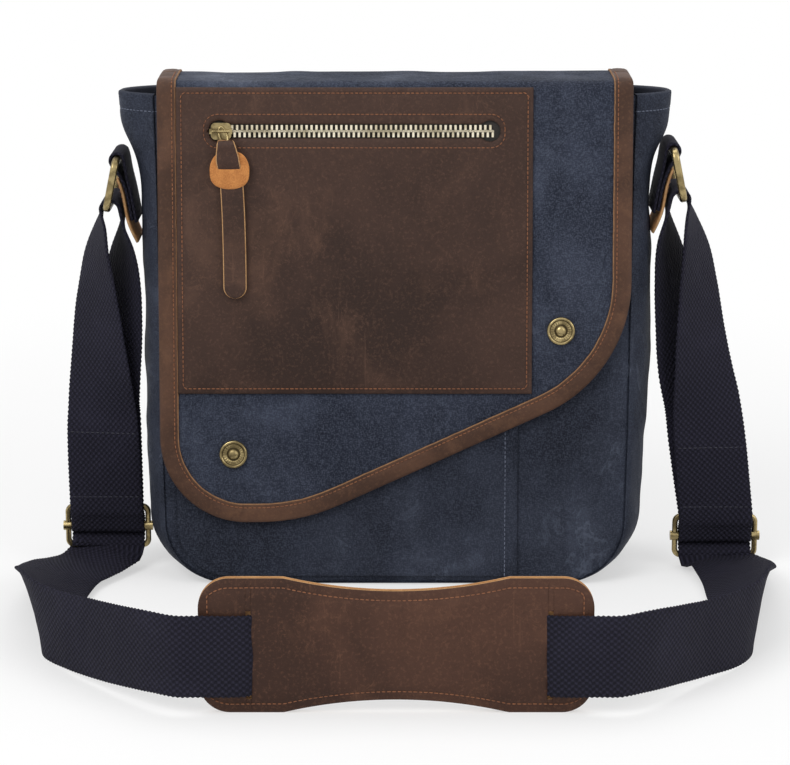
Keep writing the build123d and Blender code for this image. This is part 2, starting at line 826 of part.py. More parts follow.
def pad_layer(start, sheet, shrink=0.0):
    """Pad layer: full-height rounded ends and a drawn-in waist, from a depth backwards."""
    face = Plane(origin=(0, start, 0), x_dir=(1, 0, 0), z_dir=(0, -1, 0))
    left = pad_middle - pad_half_length + shrink
    right = pad_middle + pad_half_length - shrink
    low = shrink + 0.1
    high = pad_end_height - shrink
    inner_left = left + 38.0 - shrink
    inner_right = right - 38.0 + shrink
    with BuildPart() as piece:
        with BuildSketch(face) as flat:
            with BuildLine():
                Polyline((inner_left, low), (left, low), (left, high), (inner_left, high))
                ThreePointArc((inner_left, high), (pad_middle, high - pad_waist), (inner_right, high))
                Polyline((inner_right, high), (right, high), (right, low), (inner_right, low))
                ThreePointArc((inner_right, low), (pad_middle, low + pad_waist), (inner_left, low))
            make_face()
            ends = [v for v in flat.vertices() if abs(v.X - pad_middle) > pad_half_length - shrink - 1]
            fillet(ends, 14)
        extrude(amount=-sheet)
    return piece


core_sheet = 4.0
with BuildPart() as pad_front:
    add(pad_layer(pad_front_y, leather).part)
    with BuildSketch(Plane(origin=(0, pad_front_y - 1, 0), x_dir=(1, 0, 0), z_dir=(0, -1, 0))):
        with Locations((slot_left, 27.5), (slot_right, 27.5)):
            SlotOverall(webbing_width + 3, 2.4, rotation=90)
    extrude(amount=-leather - 2, mode=Mode.SUBTRACT)
save(pad_front, "pad_front")

core_front = pad_front_y + leather + 0.02
with BuildPart() as pad_core:
    add(pad_layer(core_front, core_sheet, 4.0).part)
    with BuildSketch(Plane(origin=(0, core_front - 1, 0), x_dir=(1, 0, 0), z_dir=(0, -1, 0))):
        with Locations((pad_middle, 27.5)):
            Rectangle(3 * pad_half_length, webbing_width + 1)
    extrude(amount=-webbing - 0.6 - 1, mode=Mode.SUBTRACT)
save(pad_core, "pad_core")
save(pad_layer(core_front + core_sheet + 0.02, leather), "pad_back")
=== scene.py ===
import math
import bpy
import bmesh
import numpy as np
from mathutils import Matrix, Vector, noise


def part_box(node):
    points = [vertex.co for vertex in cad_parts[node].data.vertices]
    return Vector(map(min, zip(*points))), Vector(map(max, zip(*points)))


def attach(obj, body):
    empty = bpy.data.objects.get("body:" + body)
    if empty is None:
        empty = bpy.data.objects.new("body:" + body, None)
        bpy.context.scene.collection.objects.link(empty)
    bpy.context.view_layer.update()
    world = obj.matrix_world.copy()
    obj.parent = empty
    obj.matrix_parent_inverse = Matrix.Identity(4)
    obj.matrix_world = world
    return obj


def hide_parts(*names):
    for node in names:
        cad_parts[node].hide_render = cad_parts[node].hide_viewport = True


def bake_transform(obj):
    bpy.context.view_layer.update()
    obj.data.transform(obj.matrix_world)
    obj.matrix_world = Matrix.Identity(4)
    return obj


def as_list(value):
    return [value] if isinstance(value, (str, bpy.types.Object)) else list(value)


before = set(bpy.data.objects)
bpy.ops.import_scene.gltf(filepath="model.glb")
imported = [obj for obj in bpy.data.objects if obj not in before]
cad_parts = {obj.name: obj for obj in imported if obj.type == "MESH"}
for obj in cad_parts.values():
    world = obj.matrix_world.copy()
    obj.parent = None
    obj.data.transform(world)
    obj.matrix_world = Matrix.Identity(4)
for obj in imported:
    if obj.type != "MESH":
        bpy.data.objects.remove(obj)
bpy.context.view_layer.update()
mm = 0.001                      # lengths below are in millimetres and become metres in the meshes
print("frame loaded")


# shader maths: one socket wrapped so that expressions build nodes
class Signal:
    def __init__(self, tree, socket):
        self.tree, self.socket = tree, socket

    def math(self, operation, *others):
        node = self.tree.nodes.new("ShaderNodeMath")
        node.operation = operation
        for place, value in zip(node.inputs, (self, *others)):
            plugIn(self.tree, place, value)
        return Signal(self.tree, node.outputs[0])

    def __add__(self, other):
        return self.math("ADD", other)

    def __mul__(self, other):
        return self.math("MULTIPLY", other)

    def __sub__(self, other):
        return self.math("SUBTRACT", other)

    def __truediv__(self, other):
        return self.math("DIVIDE", other)

    def __rsub__(self, other):
        return (self * -1.0).math("ADD", other)

    __radd__ = __add__
    __rmul__ = __mul__

    def size(self):
        return self.math("ABSOLUTE")

    def wave(self):
        return self.math("SINE")

    def fade(self, low, high):          # smooth 0 to 1 between low and high
        node = self.tree.nodes.new("ShaderNodeMapRange")
        node.interpolation_type = "SMOOTHSTEP"
        for label, value in (("Value", self), ("From Min", low), ("From Max", high)):
            plugIn(self.tree, node.inputs[label], value)
        return Signal(self.tree, node.outputs[0])


def plugIn(tree, place, value):
    if isinstance(value, Signal):
        tree.links.new(value.socket, place)
    elif isinstance(value, (tuple, list)) and len(value) == 3 and len(place.default_value) == 4:
        place.default_value = (*value, 1.0)
    else:
        place.default_value = value


class Finish:
    def __init__(self, name, fixed=None):
        self.material = bpy.data.materials.new(name)
        self.material.use_nodes = True
        self.tree = self.material.node_tree
        self.shader = self.tree.nodes["Principled BSDF"]
        for label, value in (fixed or {}).items():
            plugIn(self.tree, self.shader.inputs[label], value)

    def node(self, kind, settings=None, values=None, out=0):
        node = self.tree.nodes.new(kind)
        for label, value in (settings or {}).items():
            setattr(node, label, value)
        for label, value in (values or {}).items():
            plugIn(self.tree, node.inputs[label], value)
        return Signal(self.tree, node.outputs[out])

    def place(self, kind="Object", scale=(1, 1, 1), turn=(0, 0, 0)):
        spot = self.node("ShaderNodeTexCoord", out={"Object": 3, "UV": 2}[kind])
        return self.node("ShaderNodeMapping", {}, {"Vector": spot, "Scale": scale, "Rotation": turn})

    def cloud(self, spot, scale, detail=4.0, rough=0.55, swirl=0.0):
        return self.node("ShaderNodeTexNoise", {}, {"Vector": spot, "Scale": scale, "Detail": detail,
                                                    "Roughness": rough, "Distortion": swirl})

    def split(self, spot):
        node = self.tree.nodes.new("ShaderNodeSeparateXYZ")
        plugIn(self.tree, node.inputs[0], spot)
        return [Signal(self.tree, one) for one in node.outputs]

    def blend(self, share, first, second, kind="MIX"):
        node = self.tree.nodes.new("ShaderNodeMix")
        node.data_type, node.blend_type = "RGBA", kind
        for place, value in ((node.inputs[0], share), (node.inputs[6], first), (node.inputs[7], second)):
            plugIn(self.tree, place, value)
        return Signal(self.tree, node.outputs[2])

    def feed(self, label, value):
        plugIn(self.tree, self.shader.inputs[label], value)

    def relief(self, height, depth, strength=1.0):
        bump = self.node("ShaderNodeBump", {}, {"Height": height, "Distance": depth, "Strength": strength})
        self.feed("Normal", bump)


# finishes
canvasLook = {"deep": (0.0090, 0.0118, 0.0225), "worn": (0.0300, 0.0370, 0.0605),
              "chalk": (0.110, 0.128, 0.178),
              "patch": 16.0, "crease": 21.0, "threads": 2200.0}


def makeCanvas(name, look):
    finish = Finish(name, {"Specular IOR Level": 0.22})
    spot = finish.place()
    patches = finish.cloud(spot, look["patch"], 6.0, 0.62, 0.4)
    streaks = finish.cloud(finish.place(scale=(1.0, 1.0, 0.28)), look["patch"] * 3.4, 5.0, 0.6, 0.6)
    bent = finish.cloud(finish.place(scale=(1.0, 1.0, 0.55), turn=(0, 0.5, 0)), look["crease"], 5.0, 0.6, 1.3)
    crease = 1.0 - (bent - 0.5).size().fade(0.0, 0.022)
    fine = finish.cloud(finish.place(scale=(1.0, 1.0, 0.8), turn=(0, -0.7, 0)), look["crease"] * 2.6, 4.0,
                        0.6, 1.6)
    hair = 1.0 - (fine - 0.5).size().fade(0.0, 0.014)
    rubbed = patches.fade(0.50, 0.68)
    weftwise = finish.cloud(finish.place(scale=(0.34, 0.34, 1.0)), look["threads"], 2.0, 0.5)
    warpwise = finish.cloud(finish.place(scale=(1.0, 1.0, 0.34)), look["threads"], 2.0, 0.5)
    threads = weftwise * 0.5 + warpwise * 0.5
    tone = finish.blend(patches.fade(0.36, 0.62) * 0.7 + streaks.fade(0.4, 0.66) * 0.3, look["deep"],
                        look["worn"])
    tone = finish.blend((crease * rubbed) * 0.5 + (hair * rubbed) * 0.34
                        + (streaks * rubbed).fade(0.3, 0.62) * 0.22,
                        tone, look["chalk"])
    tone = finish.blend(threads.fade(0.44, 0.62) * 0.34, tone, look["chalk"])
    finish.feed("Base Color", tone)
    finish.feed("Roughness", 0.86 - patches.fade(0.35, 0.7) * 0.22)
    finish.relief(threads * 0.55 + crease * 0.5 + bent * 1.6 + fine * 0.5, 0.0009, 0.75)
    return finish


leatherLook = {"dark": (0.0245, 0.0118, 0.0080), "mid": (0.0470, 0.0232, 0.0160),
               "warm": (0.116, 0.060, 0.039),
               "patch": 9.0, "grain": 1100.0, "rough": 0.52}


def makeLeather(name, look):
    finish = Finish(name, {"Specular IOR Level": 0.24})
    spot = finish.place()
    patches = finish.cloud(spot, look["patch"], 7.0, 0.6, 0.7)
    blotch = finish.cloud(finish.place(scale=(1.0, 1.0, 0.6)), look["patch"] * 2.7, 6.0, 0.62, 0.9)
    longWays = finish.cloud(finish.place(scale=(1.0, 1.0, 0.05), turn=(0, 0.9, 0)), 240.0, 3.0, 0.6, 0.5)
    sideWays = finish.cloud(finish.place(scale=(1.0, 1.0, 0.04), turn=(0, -0.35, 0)), 170.0, 3.0, 0.6, 0.5)
    scratch = longWays.fade(0.66, 0.72) + sideWays.fade(0.67, 0.72)
    pores = finish.node("ShaderNodeTexVoronoi", {}, {"Vector": spot, "Scale": look["grain"]})
    grain = finish.cloud(spot, look["grain"] * 0.45, 3.0, 0.6)
    where = blotch.fade(0.42, 0.62)
    bent = finish.cloud(finish.place(scale=(1.0, 1.0, 0.7), turn=(0, 0.4, 0)), look["patch"] * 8.0, 4.0, 0.6,
                        1.5)
    nick = (1.0 - (bent - 0.5).size().fade(0.0, 0.012)) * where
    fleck = finish.cloud(spot, 620.0, 4.0, 0.68)
    tone = finish.blend(patches.fade(0.36, 0.60), look["dark"], look["mid"])
    tone = finish.blend(blotch.fade(0.52, 0.76) * 0.5, tone, look["warm"])
    tone = finish.blend((scratch * where) * 0.3 + nick * 0.38 + fleck.fade(0.50, 0.68) * 0.34, tone,
                        look["warm"])
    tone = finish.blend(grain.fade(0.56, 0.72) * 0.35, tone, look["dark"])
    finish.feed("Base Color", tone)
    finish.feed("Roughness", look["rough"] + blotch * 0.2 - patches.fade(0.4, 0.7) * 0.08)
    finish.relief(grain * 0.6 + pores * 0.25 - scratch * where * 0.12 + blotch * 0.9, 0.00042, 0.6)
    return finish


# lit and deep: the weave's raised tops carry a painted highlight and its dips carry painted shade
webbingLook = {"deep": (0.0046, 0.0042, 0.0092), "lit": (0.0250, 0.0238, 0.0420), "pitch": 2.9}


def makeWebbing(name, look):
    finish = Finish(name, {"Specular IOR Level": 0.2})
    across, along, _ = finish.split(finish.place("UV"))
    turn = 2 * math.pi / (look["pitch"] * mm)
    wobble = finish.cloud(finish.place(), 700.0, 2.0, 0.5)
    rib = (across * turn + wobble * 0.8).wave()
    pick = (along * (turn * 0.93) + wobble * 0.8).wave()
    basket = (rib * pick) * 0.5 + 0.5
    ply = ((across + along) * (turn * 2.6)).wave() * 0.5 + 0.5
    fuzz = finish.cloud(finish.place(), 2600.0, 2.0, 0.5)
    wear = finish.cloud(finish.place(), 30.0, 5.0, 0.6)
    # painted highlight on the raised tops of the weave and painted shade in its dips, mixed with random fuzz
    # and real wear patches
    tone = finish.blend(basket.fade(0.25, 0.95) * 0.72 + fuzz * 0.22 + wear.fade(0.45, 0.7) * 0.2,
                        look["deep"], look["lit"])
    finish.feed("Base Color", tone)
    finish.feed("Roughness", 0.8 + fuzz * 0.15)
    finish.relief(basket * 1.0 + ply * 0.12 + fuzz * 0.2, 0.00085, 0.9)
    return finish


brassLook = {"bright": (0.40, 0.315, 0.155), "tarnish": (0.15, 0.115, 0.055), "grooveShade": (0.035, 0.026, 0.014),
             "rough": 0.24}


def makeBrass(name, look, grooves=()):          # grooves: rings of a turned piece, darkened with painted shade
    finish = Finish(name, {"Metallic": 1.0})
    spot = finish.place()
    stain = finish.cloud(spot, 150.0, 4.0, 0.55, 0.4)
    speck = finish.cloud(spot, 1800.0, 3.0, 0.6)
    rubbed = stain.fade(0.38, 0.58)
    tone = finish.blend(rubbed * 0.8 + speck * 0.2, look["tarnish"], look["bright"])
    rough = look["rough"] + (1.0 - rubbed) * 0.14 + speck * 0.05
    if grooves:
        ring = finish.split(finish.place("UV"))[1] / mm
        paintedGrooveShade = 0.0
        # painted shade: the base colour turns dark in each groove ring, and the surface gets rougher there
        for middle, reach in grooves:
            paintedGrooveShade = (1.0 - (ring - middle).size().fade(reach * 0.5, reach)) + paintedGrooveShade
        tone = finish.blend(paintedGrooveShade * 0.85, tone, look["grooveShade"])
        rough = rough + paintedGrooveShade * 0.25
    finish.feed("Base Color", tone)
    finish.feed("Roughness", rough)
    finish.relief(speck * 0.6 + stain * 0.4, 0.00005, 0.4)
    return finish


def makePlain(name, low, high, scale, rough=0.8, depth=0.0003, fixed=None, stretch=(1, 1, 1)):
    finish = Finish(name, fixed)
    spot = finish.place(scale=stretch)
    field = finish.cloud(spot, scale, 5.0, 0.6, 0.3)
    broad = finish.cloud(spot, scale * 0.12, 3.0, 0.6)
    finish.feed("Base Color", finish.blend(field.fade(0.3, 0.7) * 0.6 + broad.fade(0.35, 0.65) * 0.4, low,
                                           high))
    finish.feed("Roughness", rough + field * 0.15 - 0.07)
    finish.relief(field, depth, 0.6)
    return finish


canvas = makeCanvas("waxedCanvas", canvasLook)
# painted shade: the body canvas is a darker copy of the flap canvas, standing in for the shade the flap casts
# over the body
bodyCanvasPaintedShade = makeCanvas("bodyCanvasPaintedShade", {**canvasLook, "deep": (0.0066, 0.0084, 0.0160),
                                       "worn": (0.0195, 0.0240, 0.0400),
                                       "chalk": (0.078, 0.092, 0.130)})
leather = makeLeather("panelLeather", leatherLook)
padLeather = makeLeather("padLeather", {**leatherLook, "dark": (0.034, 0.0140, 0.0082),
                                        "mid": (0.062, 0.0262, 0.0155),
                                        "warm": (0.140, 0.065, 0.037)})
bindLeather = makeLeather("bindingLeather",
                          {**leatherLook, "dark": (0.048, 0.0225, 0.0135), "mid": (0.084, 0.0395, 0.0230),
                                             "warm": (0.150, 0.074, 0.040), "patch": 22.0, "rough": 0.52})
cutEdge = makePlain("cutEdge", (0.33, 0.165, 0.062), (0.58, 0.34, 0.15), 900.0, 0.8, 0.0004)
rawEdge = makePlain("rawEdge", (0.16, 0.075, 0.030), (0.30, 0.155, 0.068), 900.0, 0.8, 0.0004)
suede = makePlain("suede", (0.38, 0.135, 0.032), (0.60, 0.250, 0.068), 1400.0, 0.9, 0.0005,
                  {"Sheen Weight": 0.2, "Sheen Tint": (1.0, 0.7, 0.4)})
webbing = makeWebbing("strapWebbing", webbingLook)
brass = makeBrass("antiqueBrass", brassLook)
# snap caps: painted shade in the groove round the dome and where the knurl meets the rim
capBrass = makeBrass("capBrass", brassLook, ((5.2, 1.9), (10.8, 1.0)))
paleBrass = makeBrass("zipBrass", {**brassLook, "bright": (0.92, 0.84, 0.66), "tarnish": (0.52, 0.45, 0.31)})
# painted shade: the lining is coloured near black so that the bag's inside reads as shade
lining = makePlain("liningDarkenedAsShade", (0.013, 0.015, 0.024), (0.032, 0.036, 0.055), 1500.0, 0.9, 0.0003)
tapeCloth = makePlain("zipTape", (0.014, 0.012, 0.011), (0.035, 0.030, 0.027), 1800.0, 0.9, 0.0003)
boardFace = makePlain("boardFace", (0.22, 0.17, 0.12), (0.32, 0.26, 0.19), 500.0, 0.95, 0.0002)
thread = makePlain("tanThread", (0.115, 0.040, 0.017), (0.29, 0.112, 0.044), 1200.0, 0.65, 0.0002)
navyThread = makePlain("navyThread", (0.080, 0.092, 0.132), (0.150, 0.172, 0.235), 1200.0, 0.7, 0.0002)
strapThread = makePlain("strapThread", (0.010, 0.010, 0.017), (0.034, 0.034, 0.050), 1200.0, 0.7, 0.0002)
print("finishes made")


# mesh helpers
def meshPiece(name, points, faces, finishes, uv=None, looks=None, weld=0.002, smooth=True, sharp=None):
    mesh = bpy.data.meshes.new(name)
    mesh.from_pydata((np.asarray(points, float) * mm).tolist(), [], [list(map(int, one)) for one in faces])
    if uv is not None:
        layer = mesh.uv_layers.new(name="UVMap")
        spots = np.asarray(uv, float)
        order = np.zeros(len(mesh.loops), int)
        mesh.loops.foreach_get("vertex_index", order)
        layer.data.foreach_set("uv", (spots[order] * mm).ravel())
    for one in finishes:
        mesh.materials.append(one.material)
    if looks is not None:
        mesh.polygons.foreach_set("material_index", np.asarray(looks, int))
    work = bmesh.new()
    work.from_mesh(mesh)
    bmesh.ops.remove_doubles(work, verts=work.verts, dist=weld * mm)
    bmesh.ops.dissolve_degenerate(work, edges=work.edges, dist=weld * mm)
    bmesh.ops.recalc_face_normals(work, faces=work.faces)
    for face in work.faces:
        face.smooth = smooth
    if sharp is not None:
        for edge in work.edges:
            if len(edge.link_faces) == 2 and edge.calc_face_angle(0.0) > sharp:
                edge.smooth = False
    work.to_mesh(mesh)
    work.free()
    piece = bpy.data.objects.new(name, mesh)
    bpy.context.scene.collection.objects.link(piece)
    return piece


def gridFaces(rows, columns, start=0):
    spots = np.arange(rows * columns).reshape(rows, columns) + start
    return np.stack([spots[:-1, :-1], spots[1:, :-1], spots[1:, 1:], spots[:-1, 1:]], -1).reshape(-1, 4)


def sweepPiece(name, rings, finishes, uv, looks=None, sharp=None):    # rings: stations x closed section x 3
    rings = np.asarray(rings, float)
    stations, around = rings.shape[:2]
    points = rings.reshape(-1, 3)
    faces = gridFaces(stations, around).tolist()
    kinds = None if looks is None else [looks[c] for _ in range(stations - 1) for c in range(around - 1)]
    spots = uv.reshape(-1, 2)
    extra, extraUv = [], []
    for ring in (0, stations - 1):                       # close both ends with a fan
        centre = len(points) + len(extra)
        extra.append(rings[ring, :-1].mean(0))
        extraUv.append(uv[ring, :-1].mean(0))
        for c in range(around - 1):
            faces.append([ring * around + c, ring * around + c + 1, centre])
            if kinds is not None:
                kinds.append(looks[-1])
    return meshPiece(name, np.vstack([points, extra]), faces, finishes, np.vstack([spots, extraUv]), kinds,
                     sharp=sharp)


def wander(points, size, seed, ridged=False):        # smooth random field, -1 to 1, or creases 0 to 1
    field = np.array([noise.noise(Vector((x / size, y / size, z / size + seed))) for x, y, z in points])
    return np.clip(1 - np.abs(field) * 5, 0, 1) ** 2 if ridged else field


def columnGrid(xs, low, high, rows, mid=None, half=None):     # flat grid, with a slot where half > 0
    xs = np.asarray(xs, float)
    rows = np.asarray(rows, float)
    parts, faces, count = [], [], 0
    spans = [(low, high)] if half is None else [(low, mid - half), (mid + half, high)]
    for bottom, top in spans:
        bottom, top = (np.broadcast_to(one, xs.shape) for one in (bottom, top))
        ys = bottom[:, None] + (top - bottom)[:, None] * rows[None, :]
        parts.append(np.stack([np.repeat(xs[:, None], len(rows), 1), ys], -1).reshape(-1, 2))
        faces.append(gridFaces(len(xs), len(rows), count))
        count += len(xs) * len(rows)
    flat, faces = np.vstack(parts), np.vstack(faces)
    _, first, back = np.unique(np.round(flat, 4), axis=0, return_index=True, return_inverse=True)
    return flat[first], [[v for k, v in enumerate(back.ravel()[f]) if v != back.ravel()[f][k - 1]]
                         for f in faces]


def rimOf(faces):                                     # boundary edges, in face order
    seen = {}
    for face in faces:
        for a, b in zip(face, face[1:] + face[:1]):
            seen.setdefault((min(a, b), max(a, b)), []).append((a, b))
    return [ways[0] for ways in seen.values() if len(ways) == 1]


def clothPiece(name, grid, place, top, bottom, finishes, looks=(0, 0, 0), roll=0.35, rollWidth=1.2,
               sharp=None):
    flat, faces = grid                                # looks: face, rim, back
    faces = [f for f in faces if len(f) > 2]
    rim = rimOf(faces)
    edge = flat[sorted({v for pair in rim for v in pair})]
    near = np.empty(len(flat))
    for start in range(0, len(flat), 2000):
        gap = flat[start:start + 2000, None, :] - edge[None, :, :]
        near[start:start + 2000] = np.sqrt((gap ** 2).sum(-1)).min(1)
    curl = roll * np.exp(-near / rollWidth)
    topN = (top(flat) if callable(top) else np.full(len(flat), float(top))) - curl
    lowN = (bottom(flat) if callable(bottom) else np.full(len(flat), float(bottom))) + curl
    front, back = place(flat, topN), place(flat, lowN)
    count = len(flat)
    allFaces = list(faces) + [[v + count for v in f[::-1]] for f in faces]
    allFaces += [[b, a, a + count, b + count] for a, b in rim]
    kinds = [looks[0]] * len(faces) + [looks[2]] * len(faces) + [looks[1]] * len(rim)
    return meshPiece(name, np.vstack([front, back]), allFaces, finishes, np.vstack([flat, flat]), kinds,
                     sharp=sharp)


def spread(start, stop, step, fine=(0.25, 0.7, 1.5, 2.8)):    # even places, closer together at both ends
    inner = np.arange(start + fine[-1], stop - fine[-1], step)
    ends = [start, *(start + f for f in fine)], [*(stop - f for f in fine[::-1]), stop]
    return np.unique(np.round(np.concatenate([ends[0], inner, ends[1]]), 4))


def rowShares(length, step, fine=(0.25, 0.7, 1.5, 2.8)):
    return spread(0, length, step, fine) / length


def smoothPath(points, step):                         # Catmull-Rom through stations, then even spacing
    points = np.asarray(points, float)
    padded = np.vstack([2 * points[0] - points[1], points, 2 * points[-1] - points[-2]])
    dense = []
    for k in range(1, len(padded) - 2):
        p0, p1, p2, p3 = padded[k - 1:k + 3]
        t = [0.0]
        for a, b in ((p0, p1), (p1, p2), (p2, p3)):
            t.append(t[-1] + max(np.linalg.norm((b - a)[:3]), 1e-3) ** 0.5)
        for s in np.linspace(t[1], t[2], 10, endpoint=False):
            a1 = (t[1] - s) / (t[1] - t[0]) * p0 + (s - t[0]) / (t[1] - t[0]) * p1
            a2 = (t[2] - s) / (t[2] - t[1]) * p1 + (s - t[1]) / (t[2] - t[1]) * p2
            a3 = (t[3] - s) / (t[3] - t[2]) * p2 + (s - t[2]) / (t[3] - t[2]) * p3
            b1 = (t[2] - s) / (t[2] - t[0]) * a1 + (s - t[0]) / (t[2] - t[0]) * a2
            b2 = (t[3] - s) / (t[3] - t[1]) * a2 + (s - t[1]) / (t[3] - t[1]) * a3
            dense.append((t[2] - s) / (t[2] - t[1]) * b1 + (s - t[1]) / (t[2] - t[1]) * b2)
    dense = np.array(dense + [points[-1]])
    run = np.concatenate([[0], np.cumsum(np.linalg.norm(np.diff(dense[:, :3], axis=0), axis=1))])
    count = max(int(round(run[-1] / step)), 2)
    where = np.linspace(0, run[-1], count + 1)
    return np.stack([np.interp(where, run, dense[:, k]) for k in range(dense.shape[1])], 1), where


def unit(vectors):
    return vectors / np.maximum(np.linalg.norm(vectors, axis=-1, keepdims=True), 1e-9)


# geometry node trees: a stitched run along a curve, and a row of teeth
def nodeTree(name, sockets):
    tree = bpy.data.node_groups.new(name, "GeometryNodeTree")
    tree.interface.new_socket("Geometry", in_out="INPUT", socket_type="NodeSocketGeometry")
    for label, kind in sockets:
        tree.interface.new_socket(label, in_out="INPUT", socket_type=f"NodeSocket{kind}")
    tree.interface.new_socket("Geometry", in_out="OUTPUT", socket_type="NodeSocketGeometry")
    return tree, tree.nodes.new("NodeGroupInput"), tree.nodes.new("NodeGroupOutput")


def makeStitchTree():
    tree, entry, exit = nodeTree("stitchRun", [("Pitch", "Float"), ("Stitch Length", "Float"),
                                               ("Thread Radius", "Float"), ("Slant", "Float"),
                                               ("Seed", "Int"),
                                               ("Thread", "Material")])
    new, link = tree.nodes.new, tree.links.new
    resample = new("GeometryNodeResampleCurve")
    resample.mode = "LENGTH"
    bead = new("GeometryNodeMeshUVSphere")
    bead.inputs["Segments"].default_value = 6
    bead.inputs["Rings"].default_value = 5
    bead.inputs["Radius"].default_value = 1.0
    soft = new("GeometryNodeSetShadeSmooth")
    tangent = new("GeometryNodeInputTangent")
    align = new("FunctionNodeAlignRotationToVector")
    align.axis = "Z"
    half = new("ShaderNodeMath")
    half.operation = "MULTIPLY"
    half.inputs[1].default_value = 0.5
    vary = new("FunctionNodeRandomValue")
    vary.inputs[2].default_value = 0.88
    vary.inputs[3].default_value = 1.06
    length = new("ShaderNodeMath")
    length.operation = "MULTIPLY"
    size = new("ShaderNodeCombineXYZ")
    instance = new("GeometryNodeInstanceOnPoints")
    slant = new("GeometryNodeRotateInstances")
    slantWay = new("ShaderNodeCombineXYZ")
    realize = new("GeometryNodeRealizeInstances")
    paint = new("GeometryNodeSetMaterial")
    link(entry.outputs["Geometry"], resample.inputs["Curve"])
    link(entry.outputs["Pitch"], resample.inputs["Length"])
    link(entry.outputs["Stitch Length"], half.inputs[0])
    link(entry.outputs["Seed"], vary.inputs["Seed"])
    link(half.outputs[0], length.inputs[0])
    link(vary.outputs[1], length.inputs[1])
    link(entry.outputs["Thread Radius"], size.inputs[0])
    link(entry.outputs["Thread Radius"], size.inputs[1])
    link(length.outputs[0], size.inputs[2])
    link(bead.outputs["Mesh"], soft.inputs["Geometry"])
    link(tangent.outputs[0], align.inputs["Vector"])
    link(resample.outputs[0], instance.inputs["Points"])
    link(soft.outputs[0], instance.inputs["Instance"])
    link(align.outputs[0], instance.inputs["Rotation"])
    link(size.outputs[0], instance.inputs["Scale"])
    link(entry.outputs["Slant"], slantWay.inputs[1])
    link(instance.outputs[0], slant.inputs["Instances"])
    link(slantWay.outputs[0], slant.inputs["Rotation"])
    link(slant.outputs[0], realize.inputs[0])
    link(realize.outputs[0], paint.inputs["Geometry"])
    link(entry.outputs["Thread"], paint.inputs["Material"])
    link(paint.outputs[0], exit.inputs[0])
    return tree


stitchTree = makeStitchTree()
stitchSizes = {"Pitch": 2.35, "Stitch Length": 2.0, "Thread Radius": 0.32, "Slant": 0.0}


def bakeTree(name, carrier, tree, values):
    modifier = carrier.modifiers.new(tree.name, "NODES")
    modifier.node_group = tree
    for item in tree.interface.items_tree:
        if item.item_type == "SOCKET" and item.in_out == "INPUT" and item.name in values:
            modifier[item.identifier] = values[item.name]
    bpy.context.view_layer.update()
    seen = carrier.evaluated_get(bpy.context.evaluated_depsgraph_get())
    mesh = bpy.data.meshes.new_from_object(seen)
    piece = bpy.data.objects.new(name, mesh)
    bpy.context.scene.collection.objects.link(piece)
    bpy.data.objects.remove(carrier)
    return piece


def stitchPiece(name, paths, finish=thread, seed=1, **sizes):
    curve = bpy.data.curves.new(name + "Line", "CURVE")
    curve.dimensions = "3D"
    for path in paths:
        spline = curve.splines.new("POLY")
        spline.points.add(len(path) - 1)
        spline.points.foreach_set("co", np.hstack([np.asarray(path) * mm, np.ones((len(path), 1))]).ravel())
    carrier = bpy.data.objects.new(name + "Line", curve)
    bpy.context.scene.collection.objects.link(carrier)
    chosen = {**stitchSizes, **sizes}
    values = {label: (value if label == "Slant" else value * mm) for label, value in chosen.items()}
    return bakeTree(name, carrier, stitchTree, {**values, "Seed": seed, "Thread": finish.material})


# bag body: one lofted shell, front and back panels joined by the side strip, with its lining inside
bodySizes = {"rim": 250.0, "frontDepth": 45.0, "taper": 0.1, "cornerX": 86.0, "cornerZ": 33.3, "corner": 33.0,
             "wall": 3.1, "floor": 4.4, "hem": 7.8, "puff": 1.1, "lowPuff": 2.2, "ripple": 0.55,
             "sideSlack": 3.2}
seamRows = [(250.0, 122.9, 18.9), (232.0, 122.4, 18.0), (226.0, 122.2, 15.0), (219.0, 122.1, 11.3),
            (208.0, 121.9, 9.5),
            (190.0, 121.6, 9.3), (143.0, 121.0, 9.1), (80.0, 120.3, 10.1), (33.3, 119.0, 9.6)]
cornerBulge = [(0, 9.6), (18, 9.4), (36, 8.2), (54, 5.0), (72, 1.6), (90, 0.2)]
lean = math.atan(bodySizes["taper"])
leanCos, leanSin = math.cos(lean), math.sin(lean)


def wallDepth(z):
    return bodySizes["frontDepth"] - bodySizes["taper"] * z


def skinPuff(x, z, seed):               # how far the soft panel stands out from its flat plane
    x, z = np.asarray(x, float), np.asarray(z, float)
    high = np.clip(z / bodySizes["rim"], 0, 1)
    body = bodySizes["puff"] * np.clip(1 - (x / 121.0) ** 2, 0, 1) * np.sin(math.pi * high) ** 0.6
    side = 1 / (1 + np.exp(-(x - 25) / 14.0))
    low = bodySizes["lowPuff"] * side * np.exp(-((z - 58) / 42.0) ** 2) * np.clip((119.0 - x) / 30.0, 0, 1)
    points = np.stack([x, z, np.zeros_like(x)], -1)
    fold = wander(points * (1.0, 0.55, 1), 30.0, seed) * 0.9 + wander(points, 13.0, seed + 5) * 0.4
    line = wander(points * (1.2, 0.5, 1), 34.0, seed + 9, True)
    fade = np.clip(high * 12, 0, 1)
    return body + low + bodySizes["ripple"] * (fold + (0.6 + 0.9 * side) * line) * fade


